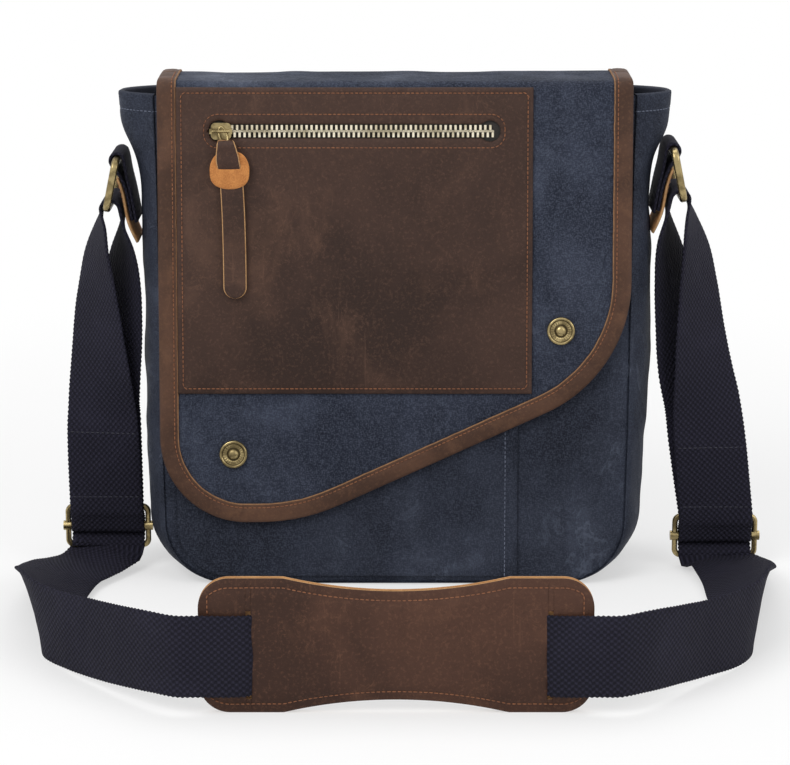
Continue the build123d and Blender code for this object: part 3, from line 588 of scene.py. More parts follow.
def shellHalf():                        # right half of the seam path: x, z, outward x, outward z, bulge
    rows = np.array(seamRows)[::-1]
    side = np.linspace(bodySizes["rim"], bodySizes["cornerZ"], 88)[:-1]
    hem = bodySizes["rim"] - bodySizes["hem"]
    side = np.sort(np.unique(np.concatenate([side, hem + np.array([-1.2, -0.5, 0, 0.5, 1.2])])))[::-1]
    x = np.interp(side, rows[:, 0], rows[:, 1])
    bulge = np.interp(side, rows[:, 0], rows[:, 2])
    kernel = np.array([1, 2, 3, 4, 3, 2, 1]) / 16.0
    bulge[3:-3] = np.convolve(bulge, kernel, "valid")
    turn = np.radians(np.linspace(0, 90, 22))[:-1]
    cornerX = bodySizes["cornerX"] + bodySizes["corner"] * np.cos(turn)
    cornerZ = bodySizes["cornerZ"] - bodySizes["corner"] * np.sin(turn)
    cornerOut = np.interp(np.degrees(turn), *np.array(cornerBulge).T)
    flat = np.linspace(bodySizes["cornerX"], 0, 25)
    path = np.concatenate([np.stack([x, side, np.ones_like(x), 0 * x, bulge], 1),
                           np.stack([cornerX, cornerZ, np.cos(turn), -np.sin(turn), cornerOut], 1),
                           np.stack([flat, 0 * flat + 0.3, 0 * flat, 0 * flat - 1, 0 * flat + 0.2], 1)])
    return path


def shellSkin(side, inset):             # grid of the half: along the seam path x across front, strip and back
    path = shellHalf()
    run = np.concatenate([[0], np.cumsum(np.hypot(*np.diff(path[:, :2], axis=0).T))])
    share = run / run[-1]
    spineZ = bodySizes["rim"] + (13.0 - bodySizes["rim"]) * share
    depthIn = bodySizes["wall"] + (bodySizes["floor"] - bodySizes["wall"]) * np.clip(-path[:, 3], 0, 1)
    depthIn = depthIn * (inset > 0)
    px, pz = path[:, 0] - path[:, 2] * depthIn, path[:, 1] - path[:, 3] * depthIn
    panel = 1 - (np.linspace(1, 0, 46)) ** 1.25
    panel = np.unique(np.concatenate([panel, 1 - np.array([0.004, 0.009, 0.016, 0.026])]))
    across = np.sin(np.linspace(-math.pi / 2, math.pi / 2, 27)[1:-1])
    columns = []
    hemLine = -0.35 * np.exp(-((path[:, 1] - bodySizes["rim"] + bodySizes["hem"]) / 0.8) ** 2) * (inset == 0)
    low = np.clip(path[:, 1] / 14.0, 0.0, 1)
    for face, order in ((-1, panel), (0, across), (1, panel[::-1])):
        for t in order:
            if face:
                x, z = px * t, spineZ + (pz - spineZ) * t
                z = np.where(t > 0.999, pz, z)
                edge = np.abs(px) * (1 - t)
                out = skinPuff(side * x, z, 3.0 if face < 0 else 41.0) * np.clip(edge / 14.0, 0, 1)
                out = out - 0.7 * np.exp(-(edge / 1.6) ** 2) - 1.0 * np.exp(-edge / 3.0)
                y = face * (wallDepth(z) - depthIn + np.where(inset > 0, out - np.abs(out) * 0.4, out))
            else:
                w = t
                spare = max(side, 0) * bodySizes["sideSlack"] * np.exp(-((path[:, 1] - 128.0) / 52.0) ** 2)
                puff = (path[:, 4] + spare) * (1 - abs(w) ** 2.3)
                spots = np.stack([path[:, 1], wallDepth(path[:, 1]) * w, run * 0], -1)
                puff = (puff
                        + (wander(spots, 26.0, 60 + side) * 1.1 + wander(spots, 11.0, 70 + side) * 0.35)
                        * (1 - w * w) * low)
                seam = (1 - abs(w)) * wallDepth(path[:, 1])
                puff = puff - 0.9 * np.exp(-(seam / 1.6) ** 2) + hemLine
                x, z = px + path[:, 2] * puff, np.maximum(pz + path[:, 3] * puff, 0.25 + depthIn)
                y = (wallDepth(path[:, 1]) - depthIn) * w
            columns.append(np.stack([side * x, y, z], -1))
    return np.stack(columns, 1), run


def makeShell():
    points, faces, looks, uvs, count = [], [], [], [], 0
    for side in (-1, 1):
        outer, run = shellSkin(side, 0)
        inner, _ = shellSkin(side, 1)
        high = outer[:1] * 0.5 + inner[:1] * 0.5 + (0, 0, 1.1)
        outer = np.vstack([high, outer[:1] * 0.92 + high * 0.08 + (0, 0, 0.25), outer[:1] - (0, 0, 0.5),
                           outer[1:]])
        inner = np.vstack([high, inner[:1] * 0.92 + high * 0.08 + (0, 0, 0.25), inner[:1] - (0, 0, 0.5),
                           inner[1:]])
        for skin, kind in ((outer, 0), (inner, 1)):
            rows, columns = skin.shape[:2]
            points.append(skin.reshape(-1, 3))
            gap = np.linalg.norm(np.diff(skin, axis=1), axis=2).cumsum(1)
            u = np.hstack([np.zeros((rows, 1)), gap])
            uvs.append(np.stack([u, np.repeat(skin[:, -1:, 2], columns, 1)], -1).reshape(-1, 2))
            faces.append(gridFaces(rows, columns, count))
            looks += [kind] * len(faces[-1])
            count += rows * columns
    return meshPiece("bagShell", np.vstack(points), np.vstack(faces), [bodyCanvasPaintedShade, lining], np.vstack(uvs),
                     looks,
                     weld=0.01)


shell = makeShell()
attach(shell, "bag")
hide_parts("front_panel", "back_panel", "gusset_left", "gusset_right", "gusset_base", "lining_front",
            "lining_back", "lining_left", "lining_right", "lining_base")


def frontPlace(flat, out):              # x and height on the soft front panel
    y = -wallDepth(flat[:, 1]) - skinPuff(flat[:, 0], flat[:, 1], 3.0) - out
    return np.stack([flat[:, 0], y, flat[:, 1]], -1)


def backPlace(flat, out):               # x and height on the inside of the back panel
    y = wallDepth(flat[:, 1]) - bodySizes["wall"] - 0.2 - out
    return np.stack([flat[:, 0], y, flat[:, 1]], -1)


pocketSizes = {"left": -112.0, "right": 62.8, "low": 5.0, "top": 171.0, "corner": 26.0, "sheet": 1.5,
               "stitchIn": 6.4, "hemIn": 12.5}


def makeFrontPocket():
    sizes = pocketSizes
    xs = spread(sizes["left"], sizes["right"], 2.6)
    near = np.clip(sizes["corner"] - (xs - sizes["left"]), 0, None)
    low = sizes["low"] + sizes["corner"] - np.sqrt(np.clip(sizes["corner"] ** 2 - near ** 2, 0, None))
    grid = columnGrid(xs, low, np.full_like(xs, sizes["top"]), rowShares(sizes["top"] - sizes["low"], 2.6))

    def top(flat):
        hem = np.exp(-((sizes["right"] - flat[:, 0] - sizes["hemIn"]) / 1.2) ** 2) * 0.35
        row = np.exp(-((sizes["right"] - flat[:, 0] - sizes["stitchIn"]) / 0.9) ** 2) * 0.3
        edge = np.clip((sizes["right"] - flat[:, 0]) / 3.0, 0, 1)
        return (sizes["sheet"] + 0.45 * edge
                + 0.8 * np.exp(-((sizes["right"] - 3 - flat[:, 0]) / 3.0) ** 2) - hem - row)

    piece = clothPiece("frontPocket", grid, frontPlace, top, -0.3, [bodyCanvasPaintedShade], roll=0.5)
    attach(piece, "bag")
    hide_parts("front_pocket")
    z = np.arange(sizes["low"] + 1, sizes["top"] - 4, 1.5)
    line = np.stack([0 * z + sizes["right"] - sizes["stitchIn"], z], -1)
    rows = stitchPiece("pocketStitches", [frontPlace(line, np.full(len(z), sizes["sheet"] + 0.5))],
                       navyThread, 3,
                       **{"Thread Radius": 0.30})
    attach(rows, "bag")


def makeInnerPocket():
    grid = columnGrid(spread(-75, 75, 6.0), 70.0, 190.0, rowShares(120, 6.0))
    piece = clothPiece("innerPocket", grid, backPlace, 0.9, 0.0, [lining], roll=0.3)
    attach(piece, "bag")
    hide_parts("inner_pocket")


makeFrontPocket()
makeInnerPocket()


def rimStitches():                      # the hem row round both sides of the rim
    paths = []
    for side in (-1, 1):
        skin, _ = shellSkin(side, 0)
        level = bodySizes["rim"] - bodySizes["hem"]
        row = skin[np.argmin(np.abs(shellHalf()[:60, 1] - level))]
        paths.append(row + unit(row * (1, 1, 0)) * 0.12)
    piece = stitchPiece("rimStitches", paths, navyThread, 5, **{"Thread Radius": 0.27})
    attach(piece, "bag")


rimStitches()
print("bag body made")


# flap: its places are x and t, where t is 0 at mid top, negative down the front, positive down the back
flapSizes = {"half": 119.2, "top": 258.0, "foldY": -25.5314, "low": 35.15, "kneeX": -48.3, "lowRight": 110.4,
             "roundLeft": 43.0, "roundKnee": 99.0, "roundRight": 73.0, "backY": 21.1, "backLow": 225.0,
             "foldRadius": 4.6, "sheet": 1.8, "crown": 0.6}


def flapProfile():
    sizes = flapSizes
    back = np.array([sizes["backY"] + (sizes["top"] - sizes["backLow"]) * 0.1, sizes["backLow"]])
    cornerBack = np.array([sizes["backY"], sizes["top"]])
    fold = np.array([sizes["foldY"], sizes["top"]])
    front = fold + 262.0 * np.array([-leanSin, -leanCos])
    line = [back]
    for before, corner, after in ((back, cornerBack, fold), (cornerBack, fold, front)):
        start = corner + unit(before - corner) * sizes["foldRadius"]
        stop = corner + unit(after - corner) * sizes["foldRadius"]
        for s in np.linspace(0, 1, 12):
            line.append((1 - s) ** 2 * start + 2 * s * (1 - s) * corner + s * s * stop)
    line = np.array(line + [front])
    run = np.concatenate([[0], np.cumsum(np.linalg.norm(np.diff(line, axis=0), axis=1))])
    where = np.arange(0, run[-1], 0.5)
    dense = np.stack([np.interp(where, run, line[:, k]) for k in (0, 1)], 1)
    middle = (sizes["foldY"] + sizes["backY"]) / 2
    dense[:, 1] += (sizes["crown"] * np.clip(1 - ((dense[:, 0] - middle) / 22.0) ** 2, 0, 1)
                    * (dense[:, 1] > 257.5))
    way = unit(np.gradient(dense, axis=0))
    t = -(where - where[np.argmin(np.abs(dense[:, 0]) + (dense[:, 1] < 257) * 99)])
    facing = np.stack([way[:, 1], -way[:, 0]], 1)
    return t[::-1], dense[::-1], facing[::-1]


profileT, profileLine, profileFacing = flapProfile()
if profileFacing[np.argmin(np.abs(profileT)), 1] < 0:
    profileFacing = -profileFacing
straight = np.argmin(np.abs(profileLine[:, 1] - 240.0) + (profileLine[:, 0] > 0) * 99)
tAtStraight, zAtStraight = profileT[straight], profileLine[straight, 1]


def flapT(z):                            # t of a height on the front of the flap
    return tAtStraight - (zAtStraight - z) / leanCos


snapSpots = {"left": (-82.6, 69.5), "right": (84.4, 132.5)}
panelSizes = {"left": -110.5, "right": 69.7, "top": 255.0, "low": 100.5, "thick": 2.05, "zipHeight": 233.4,
              "windowLeft": -94.0, "windowRight": 53.2, "windowHalf": 3.55, "bulb": 5.3}


def flapRipple(flat):                    # small soft waves that all the layers of the flap share
    x, t = flat[:, 0], flat[:, 1]
    points = np.stack([x, t, 0 * x], -1)
    wave = wander(points, 42.0, 11) * 0.9 + wander(points * (1, 0.7, 1), 17.0, 17) * 0.35
    wave = wave - 0.45 * wander(points * (0.8, 1.1, 1), 36.0, 23, True)
    edge = np.minimum.reduce([x - panelSizes["left"], panelSizes["right"] - x, flapT(panelSizes["top"]) - t,
                              t - flapT(panelSizes["low"])])
    stiff = 1 - 0.75 * np.clip(edge / 12.0, 0, 1)
    for sx, sz in snapSpots.values():
        gap = np.hypot(x - sx, t - flapT(sz))
        stiff = stiff * np.clip((gap - 6) / 14.0, 0.0, 1) if len(x) else stiff
        wave = wave - 0.5 * np.exp(-((gap - 11) / 6.0) ** 2) * (gap > 6)
    return wave * stiff * 0.75


def flapPlace(flat, out):
    out = out + flapRipple(flat)
    y = (np.interp(flat[:, 1], profileT, profileLine[:, 0])
         + out * np.interp(flat[:, 1], profileT, profileFacing[:, 0]))
    z = (np.interp(flat[:, 1], profileT, profileLine[:, 1])
         + out * np.interp(flat[:, 1], profileT, profileFacing[:, 1]))
    return np.stack([flat[:, 0], y, z], -1)


def planePlace(flat, out):               # x and distance below the fold on the flap's flat front plane
    sizes = flapSizes
    y = sizes["foldY"] - flat[:, 1] * leanSin - out * leanCos
    z = sizes["top"] - flat[:, 1] * leanCos + out * leanSin
    return np.stack([flat[:, 0], y, z], -1)


def roundedLine(line, radii, step, turnStep):       # straight runs with arcs at the inner corners
    line = np.asarray(line, float)
    path = []
    for before, corner, after, radius in zip(line, line[1:], line[2:], radii):
        back, onward = unit(before - corner), unit(after - corner)
        half = math.acos(float(back @ onward)) / 2
        start, stop = corner + back * radius / math.tan(half), corner + onward * radius / math.tan(half)
        centre = corner + unit(back + onward) * radius / math.sin(half)
        first = math.atan2(*(start - centre)[::-1])
        sweep = (math.atan2(*(stop - centre)[::-1]) - first + math.pi) % (2 * math.pi) - math.pi
        if path:
            count = int(math.dist(path[-1], start) / step)
            path += [tuple(np.array(path[-1]) + (start - path[-1]) * k / count) for k in range(1, count)]
        turns = first + sweep * np.linspace(0, 1, int(abs(math.degrees(sweep)) / turnStep) + 2)
        path += [tuple(centre + radius * np.array((math.cos(a), math.sin(a)))) for a in turns]
    return np.array(path)


def flapOutline(step=2.2, turnStep=3.6):           # left side down, along the lower edge, right side up
    sizes = flapSizes
    half, low, high = sizes["half"], flapT(sizes["low"]), flapT(sizes["lowRight"])
    lower = roundedLine([(-half, 0), (-half, low), (sizes["kneeX"], low), (half, high), (half, 0)],
                        (sizes["roundLeft"], sizes["roundKnee"], sizes["roundRight"]), step, turnStep)
    leftDown = [(-half, t) for t in np.arange(0, lower[0, 1] + 0.5, -step)]
    rightUp = [(half, t) for t in np.arange(0, lower[-1, 1] + 0.5, -step)][::-1]
    return np.array(leftDown + lower.tolist() + rightUp), lower


outline, lowerEdge = flapOutline()


def makeFlapCanvas():
    xs = lowerEdge[:, 0]
    keep = np.concatenate([[True], np.diff(xs) > 0.03])
    grid = columnGrid(xs[keep], lowerEdge[keep, 1], 0.0, rowShares(245, 2.2))
    front = clothPiece("flapFrontCanvas", grid, flapPlace, 0.0, -flapSizes["sheet"], [canvas, lining],
                       (0, 0, 1), 0.2)
    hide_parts("flap_canvas", "flap_lining")
    backEnd = profileT.max()
    grid = columnGrid(spread(-flapSizes["half"], flapSizes["half"], 2.8), 0.0, backEnd,
                      rowShares(backEnd, 2.4))
    back = clothPiece("flapBackCanvas", grid, flapPlace, 0.0, -flapSizes["sheet"] + 0.3, [canvas], roll=0.4)
    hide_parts("flap_top", "flap_anchor")
    return front, back


bindingSizes = {"wide": 8.7, "proud": 1.05, "under": -2.75, "outside": 0.95, "stitchIn": 6.7}


def bindingPiece(name, path, inward, nodes):
    sizes = bindingSizes
    wide, proud, under, out = sizes["wide"], sizes["proud"], sizes["under"], -sizes["outside"]
    section = [(wide, 0.05), (wide + 0.1, proud * 0.82), (wide - 0.5, proud), (wide - 1.7, proud - 0.12),
               (wide - 2.6, proud + 0.12), (4.2, proud + 0.25), (2.0, proud + 0.15), (0.6, proud),
               (out * 0.6, 0.55),
               (out, -0.3), (out, -1.5), (out * 0.6, -2.3), (0.6, under + 0.1), (4.5, under),
               (wide - 0.4, under),
               (wide, under + 0.6), (wide, 0.05)]
    looks = [1, 1, 0, 0, 0, 0, 0, 0, 0, 0, 0, 0, 0, 0, 1, 0]
    run = np.concatenate([[0], np.cumsum(np.hypot(*np.diff(path, axis=0).T))])
    gather = wander(np.stack([run, 0 * run, 0 * run], -1), 7.0, 31) * 0.10
    ragged = wander(np.stack([run, 0 * run, 0 * run], -1), 2.4, 37) * 0.16
    rings, uv = [], []
    around = np.concatenate([[0], np.cumsum([math.dist(a, b) for a, b in zip(section, section[1:])])])
    for a, n in section:
        shift = a + (ragged + gather * 2) * (a > wide - 1)
        flat = path + inward * shift[:, None]
        rings.append(flapPlace(flat,
                               n + gather * (n > 0.5) - flapRipple(flat) + flapRipple(path + inward * 4.0)))
    uv = np.stack(np.broadcast_arrays(around[None, :], run[:, None]), -1)
    piece = sweepPiece(name, np.stack(rings, 1), [bindLeather, rawEdge], uv, looks)
    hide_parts(*nodes)
    return piece


def inwardOf(path):
    way = unit(np.gradient(path, axis=0))
    return np.stack([-way[:, 1], way[:, 0]], 1)


def makeBindings():
    front = bindingPiece("flapBinding", outline, inwardOf(outline), ["flap_binding"])
    backs = []
    stop = profileT.max() - 1.0
    for name, sign in (("Left", -1), ("Right", 1)):
        t = np.arange(0, stop, 2.4)
        path = np.stack([0 * t + sign * flapSizes["half"], t], -1)
        inward = np.stack([0 * t - sign, 0 * t], -1)
        backs.append(bindingPiece(f"topBinding{name}", path, inward, [f"top_binding_{name.lower()}"]))
    return front, backs


def windowHalf(xs):
    sizes = panelSizes
    straightPart = (xs > sizes["windowLeft"] + sizes["bulb"]) & (xs < sizes["windowRight"] - sizes["bulb"])
    half = np.where(straightPart, sizes["windowHalf"], 0.0)
    for centre in (sizes["windowLeft"] + sizes["bulb"], sizes["windowRight"] - sizes["bulb"]):
        half = np.maximum(half, np.sqrt(np.clip(sizes["bulb"] ** 2 - (xs - centre) ** 2, 0, None)))
    return half


def makePanel():
    sizes = panelSizes
    ends = [centre + sizes["bulb"] * np.cos(np.radians(np.arange(0, 181, 12)))
            for centre in (sizes["windowLeft"] + sizes["bulb"], sizes["windowRight"] - sizes["bulb"])]
    xs = np.unique(np.round(np.concatenate([spread(sizes["left"], sizes["right"], 2.5), *ends]), 3))
    xs = xs[np.concatenate([[True], np.diff(xs) > 0.04])]
    low, high, mid = flapT(sizes["low"]), flapT(sizes["top"]), flapT(sizes["zipHeight"])
    grid = columnGrid(xs, low, high, rowShares(90, 2.3), np.full_like(xs, mid), windowHalf(xs))
    stitchIn = 2.7

    def top(flat):
        edge = np.minimum.reduce([flat[:, 0] - sizes["left"], sizes["right"] - flat[:, 0], high - flat[:, 1],
                                  flat[:, 1] - low])
        return (sizes["thick"] + 0.25 * np.clip(edge / 14, 0, 1)
                - 0.22 * np.exp(-((edge - stitchIn) / 0.7) ** 2))

    piece = clothPiece("leatherPanel", grid, flapPlace, top, 0.02, [leather, rawEdge], (0, 0, 0), 0.75, 0.9)
    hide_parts("flap_leather")
    grid = columnGrid(spread(sizes["windowLeft"] - 3, sizes["windowRight"] + 3, 3.0), mid - 9.0, mid + 9.0,
                      rowShares(18, 1.5))
    tape = clothPiece("zipTapes", grid, flapPlace,
                      lambda flat: 0.55 + 0.25 * np.exp(-((np.abs(flat[:, 1] - mid) - 2.4) / 0.6) ** 2), 0.1,
                      [tapeCloth], roll=0.1)
    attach(tape, "flap_front")
    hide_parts("zip_tape_upper", "zip_tape_lower")
    return piece


def rounded(left, low, right, high, radius, step=1.2):         # closed round-cornered path
    points = []
    for cx, cy, start in ((right - radius, high - radius, 0), (left + radius, high - radius, 90),
                          (left + radius, low + radius, 180), (right - radius, low + radius, 270)):
        for a in np.radians(np.linspace(start, start + 90, max(int(radius), 2) + 1)):
            points.append((cx + radius * math.cos(a), cy + radius * math.sin(a)))
    points = np.array(points + [points[0]])
    run = np.concatenate([[0], np.cumsum(np.hypot(*np.diff(points, axis=0).T))])
    where = np.arange(0, run[-1], step)
    return np.stack([np.interp(where, run, points[:, k]) for k in (0, 1)], 1)


def makeFlapStitches():
    sizes, mid = panelSizes, flapT(panelSizes["zipHeight"])
    edge = rounded(sizes["left"] + 2.7, flapT(sizes["low"]) + 2.7, sizes["right"] - 2.7,
                   flapT(sizes["top"]) - 2.7, 1.5)
    loop = rounded(-96.4, mid - 8.4, 55.4, mid + 8.4, 7.0)
    inward = inwardOf(outline)
    bound = outline + inward * bindingSizes["stitchIn"]
    paths = [flapPlace(edge, np.full(len(edge), sizes["thick"] + 0.0)),
             flapPlace(loop, np.full(len(loop), sizes["thick"] + 0.27)),
             flapPlace(bound, np.full(len(bound), bindingSizes["proud"] + 0.05))]
    piece = stitchPiece("flapStitches", paths, thread, 11)
    return piece


flapFront, flapBack = makeFlapCanvas()
flapBinding, backBindings = makeBindings()
panel = makePanel()
flapStitches = makeFlapStitches()
foldStart, foldEnd = (0, -0.0205, 0.2585), (0, -0.0275, 0.2460)
hingeStart, hingeEnd = (0, 0.0235, 0.2460), (0, 0.0170, 0.2585)
for piece in (flapFront, flapBinding, panel, flapStitches):
    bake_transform(piece)
    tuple(foldStart)
    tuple(foldEnd)
for piece in (flapBack, *backBindings):
    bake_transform(piece)
    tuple(hingeStart)
    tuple(hingeEnd)
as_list(backBindings)
print("flap made")


# zip teeth, repeated along the tapes
toothSizes = {"Tooth Pitch": 2.5, "Tooth Wide": 1.12, "Tooth Reach": 3.4, "Tooth High": 1.35, "count": 53,
              "first": -82.0, "above": 0.75}


def makeToothTree():
    tree, entry, exit = nodeTree("toothRow", [("Tooth Pitch", "Float"), ("Tooth Wide", "Float"),
                                              ("Tooth Reach", "Float"), ("Tooth High", "Float"),
                                              ("Count", "Int"),
                                              ("Brass", "Material")])
    new, link = tree.nodes.new, tree.links.new
    line = new("GeometryNodeMeshLine")
    step = new("ShaderNodeCombineXYZ")
    box = new("ShaderNodeCombineXYZ")
    body = new("GeometryNodeMeshCube")
    head = new("GeometryNodeMeshCylinder")
    head.inputs["Vertices"].default_value = 8
    headSpot = new("GeometryNodeTransform")
    headMove = new("ShaderNodeCombineXYZ")
    reach = new("ShaderNodeMath")
    reach.operation = "MULTIPLY"
    reach.inputs[1].default_value = 0.36
    wide = new("ShaderNodeMath")
    wide.operation = "MULTIPLY"
    wide.inputs[1].default_value = 0.62
    join = new("GeometryNodeJoinGeometry")
    instance = new("GeometryNodeInstanceOnPoints")
    realize = new("GeometryNodeRealizeInstances")
    paint = new("GeometryNodeSetMaterial")
    link(entry.outputs["Tooth Pitch"], step.inputs[0])
    link(step.outputs[0], line.inputs["Offset"])
    link(entry.outputs["Count"], line.inputs["Count"])
    for k, label in enumerate(("Tooth Wide", "Tooth Reach", "Tooth High")):
        link(entry.outputs[label], box.inputs[k])
    link(box.outputs[0], body.inputs["Size"])
    link(entry.outputs["Tooth Reach"], reach.inputs[0])
    link(entry.outputs["Tooth Wide"], wide.inputs[0])
    link(wide.outputs[0], head.inputs["Radius"])
    link(entry.outputs["Tooth High"], head.inputs["Depth"])
    link(reach.outputs[0], headMove.inputs[1])
    link(head.outputs["Mesh"], headSpot.inputs["Geometry"])
    link(headMove.outputs[0], headSpot.inputs["Translation"])
    link(body.outputs["Mesh"], join.inputs[0])
    link(headSpot.outputs[0], join.inputs[0])
    link(line.outputs[0], instance.inputs["Points"])
    link(join.outputs[0], instance.inputs["Instance"])
    link(instance.outputs[0], realize.inputs[0])
    link(realize.outputs[0], paint.inputs["Geometry"])
    link(entry.outputs["Brass"], paint.inputs["Material"])
    link(paint.outputs[0], exit.inputs[0])
    return tree


def makeTeeth():
    tree = makeToothTree()
    below = (flapSizes["top"] - panelSizes["zipHeight"]) / leanCos
    for name, sign in (("upper", 1), ("lower", -1)):
        carrier = bpy.data.objects.new(f"teethLine_{name}", bpy.data.meshes.new("teethLine"))
        bpy.context.scene.collection.objects.link(carrier)
        values = {label: toothSizes[label] * mm for label in list(toothSizes)[:4]}
        piece = bakeTree(f"zipTeeth_{name}", carrier, tree, {**values, "Count": toothSizes["count"],
                                                             "Brass": paleBrass.material})
        spots = np.array([v.co for v in piece.data.vertices]) / mm
        first = toothSizes["first"] + (0 if sign > 0 else toothSizes["Tooth Pitch"] / 2)
        flat = np.stack([spots[:, 0] + first,
                         below - sign * (toothSizes["Tooth Reach"] * 0.40 - spots[:, 1])], -1)
        done = planePlace(flat, spots[:, 2] + toothSizes["above"] + toothSizes["Tooth High"] / 2) * mm
        if sign > 0:
            piece.data.flip_normals()
        piece.data.vertices.foreach_set("co", done.ravel())
        piece.data.update()
        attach(piece, "flap_front")
        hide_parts(f"zip_teeth_{name}")


makeTeeth()


# turned metal: snap caps and the leather washer
def lathePiece(name, profile, place, finishes, segments=72, knurl=None, looks=None):
    profile = np.asarray(profile, float)
    turns = np.linspace(0, 2 * math.pi, segments + 1)
    rings = []
    for k, (r, n) in enumerate(profile):
        lift = 0.0
        if knurl and knurl[0] < r < knurl[1]:
            lift = 0.11 * np.cos(turns * segments / 4)
        flat = np.stack([r * np.cos(turns), r * np.sin(turns)], -1)
        rings.append(place(flat, n + lift + 0 * turns))
    rings = np.stack(rings, 0)
    uv = np.stack(np.broadcast_arrays(turns[None, :] * 5, np.arange(len(profile))[:, None] * 1.0), -1)
    return meshPiece(name, rings.reshape(-1, 3), gridFaces(*rings.shape[:2]), finishes, uv.reshape(-1, 2),
                     looks,
                     sharp=0.9)


capProfile = [(0, 2.78), (0.9, 2.74), (1.7, 2.55), (2.35, 2.15), (2.72, 1.62), (2.9, 1.34), (3.25, 1.30),
              (3.6, 1.52),
              (4.1, 1.60), (4.7, 1.60), (5.3, 1.58), (5.6, 1.72), (5.8, 2.05), (6.1, 2.26), (6.5, 2.30),
              (6.9, 2.08),
              (7.12, 1.6), (7.15, 1.0), (6.95, 0.35), (6.6, 0.02), (0, 0.02)]
for name, (snapX, snapZ) in snapSpots.items():
    below = (flapSizes["top"] - snapZ) / leanCos
    cap = lathePiece(f"snapCap_{name}", capProfile,
                     lambda flat, n: planePlace(flat + (snapX, below), n), [capBrass], 96, (3.5, 5.4))
    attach(cap, "flap_front")
    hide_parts(f"snap_cap_{name}")
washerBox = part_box("snap_washer")
washerMiddle = [(a + b) / 2 / mm for a, b in zip(*washerBox)]


def washerPlace(flat, n):
    y = washerMiddle[1] + flat[:, 1] * leanSin - n * leanCos
    return np.stack([flat[:, 0] + washerMiddle[0], y, washerMiddle[2] + flat[:, 1] * leanCos + n * leanSin],
                    -1)


washer = lathePiece("snapWasher", [(0, 0.75), (6.9, 0.75), (7.6, 0.6), (7.95, 0.2), (7.95, -0.4), (7.5, -0.8),
                                   (0, -0.8)],
                    washerPlace, [bindLeather])
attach(washer, "bag")
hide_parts("snap_washer")
print("zip and snaps made")


# flat bands: webbing, tabs and the zip pull
def bandPiece(name, stations, halves, thick, finishes, columns=13, serrate=0.0, wave=0.0, seed=1, lift=0.0):
    spots, ways, run = stations[:, :3], unit(stations[:, 3:6]), stations[:, 6]
    tangent = unit(np.gradient(spots, axis=0))
    ways = unit(ways - tangent * (ways * tangent).sum(1, keepdims=True))
    facing = np.cross(tangent, ways)
    halves = np.broadcast_to(np.asarray(halves, float), run.shape).copy()
    if serrate:
        halves = halves + serrate * np.where(np.arange(len(run)) % 2 == 0, 1, -1)
    high = thick / 2
    rim = min(0.35 * thick, 0.6)
    inside = np.linspace(-1, 1, columns)
    section = [(a, 0, high) for a in inside] + [(1, rim, high * 0.4), (1, rim, -high * 0.4)]
    section += [(a, 0, -high) for a in inside[::-1]] + [(-1, -rim, -high * 0.4), (-1, -rim, high * 0.4),
                                                        (-1, 0, high)]
    looks = [0] * (columns - 1) + [1] * 3 + [2] * (columns - 1) + [1] * 3
    looks = [min(k, len(finishes) - 1) if k < 2 else (2 if len(finishes) > 2 else 0) for k in looks]
    rings, us, u = [], [], 0.0
    previous = None
    for a, extra, n in section:
        across = a * (halves - rim) + extra
        bend = 0.0
        if wave:
            field = np.stack([run, a * halves * 1.3, 0 * run], -1)
            bend = wave * wander(field, 24.0, seed) + wave * 0.4 * wander(field, 9.0, seed + 3)
        rings.append(spots + ways * across[:, None] + facing * (n + lift + bend)[:, None]
                     if wave else spots + ways * across[:, None] + facing * (n + lift))
        here = np.array([a * np.median(halves) + extra, n])
        u += 0.0 if previous is None else float(np.linalg.norm(here - previous))
        previous = here
        us.append(u)
    uv = np.stack(np.broadcast_arrays(np.array(us)[None, :], run[:, None]), -1)
    return sweepPiece(name, np.stack(rings, 1), finishes, uv, looks)


def bandStations(rows, step=1.15):
    path, run = smoothPath(np.array([[*spot, *way] for spot, way in rows], float), step)
    return np.hstack([path, run[:, None]])


strapSizes = {"half": 19.0, "thick": 1.55, "serrate": 0.24, "wave": 0.45, "split": 88.0}
frameY, wire = -10.4, 1.4
firstLayer, layerStep = wire + 0.45 + 0.8, 1.95
secondLayer = firstLayer + layerStep
weave = math.degrees(math.asin((firstLayer + secondLayer) / 10.5))
adjusters = {"left": {"x": -151.0, "z": 22.0, "top": 77.0, "front": -152.3, "rear": -151.2},
             "right": {"x": 168.5, "z": 16.5, "top": 69.0, "front": 162.0, "rear": 158.6}}
loops = {
    "left": [(-151.2, -10.2, 88.4, 14), (-148.6, -8.6, 105, 28), (-145, -6, 128, 40), (-142.2, -3.5, 150, 54),
             (-141.2, -1, 168, 68), (-140.8, 0, 180, 82), (-140.2, 0, 189, 90), (-141.6, 0, 193.8, 90),
             (-144.2, 0, 195.8, 90), (-147.2, 0, 196.2, 90), (-149.6, 0, 194.6, 90), (-150.8, 0, 191, 90),
             (-152.6, -1, 180, 78), (-154.8, -3.5, 165, 66), (-154.6, -8, 145, 53), (-154, -12.2, 125, 42),
             (-153, -14.8, 105, 30), (-152.3, -15.6, 88.4, 18)],
    "right": [(158.6, -10.2, 88.4, 14), (153, -8.8, 107, 28), (148.6, -6.2, 128, 42), (145, -3.5, 150, 54),
              (141.8, -1, 172, 68), (140.8, 0, 185, 82), (140.4, 0, 194, 90), (141.8, 0, 198.8, 90),
              (144.2, 0, 200.8, 90), (147.2, 0, 201.2, 90), (149.6, 0, 199.6, 90), (150.8, 0, 196, 90),
              (153, -1, 186, 80), (156, -4, 170, 66), (157.4, -8, 150, 55), (158.6, -12.2, 126, 44),
              (160.4, -14.8, 105, 32), (162, -15.6, 88.4, 18)]}
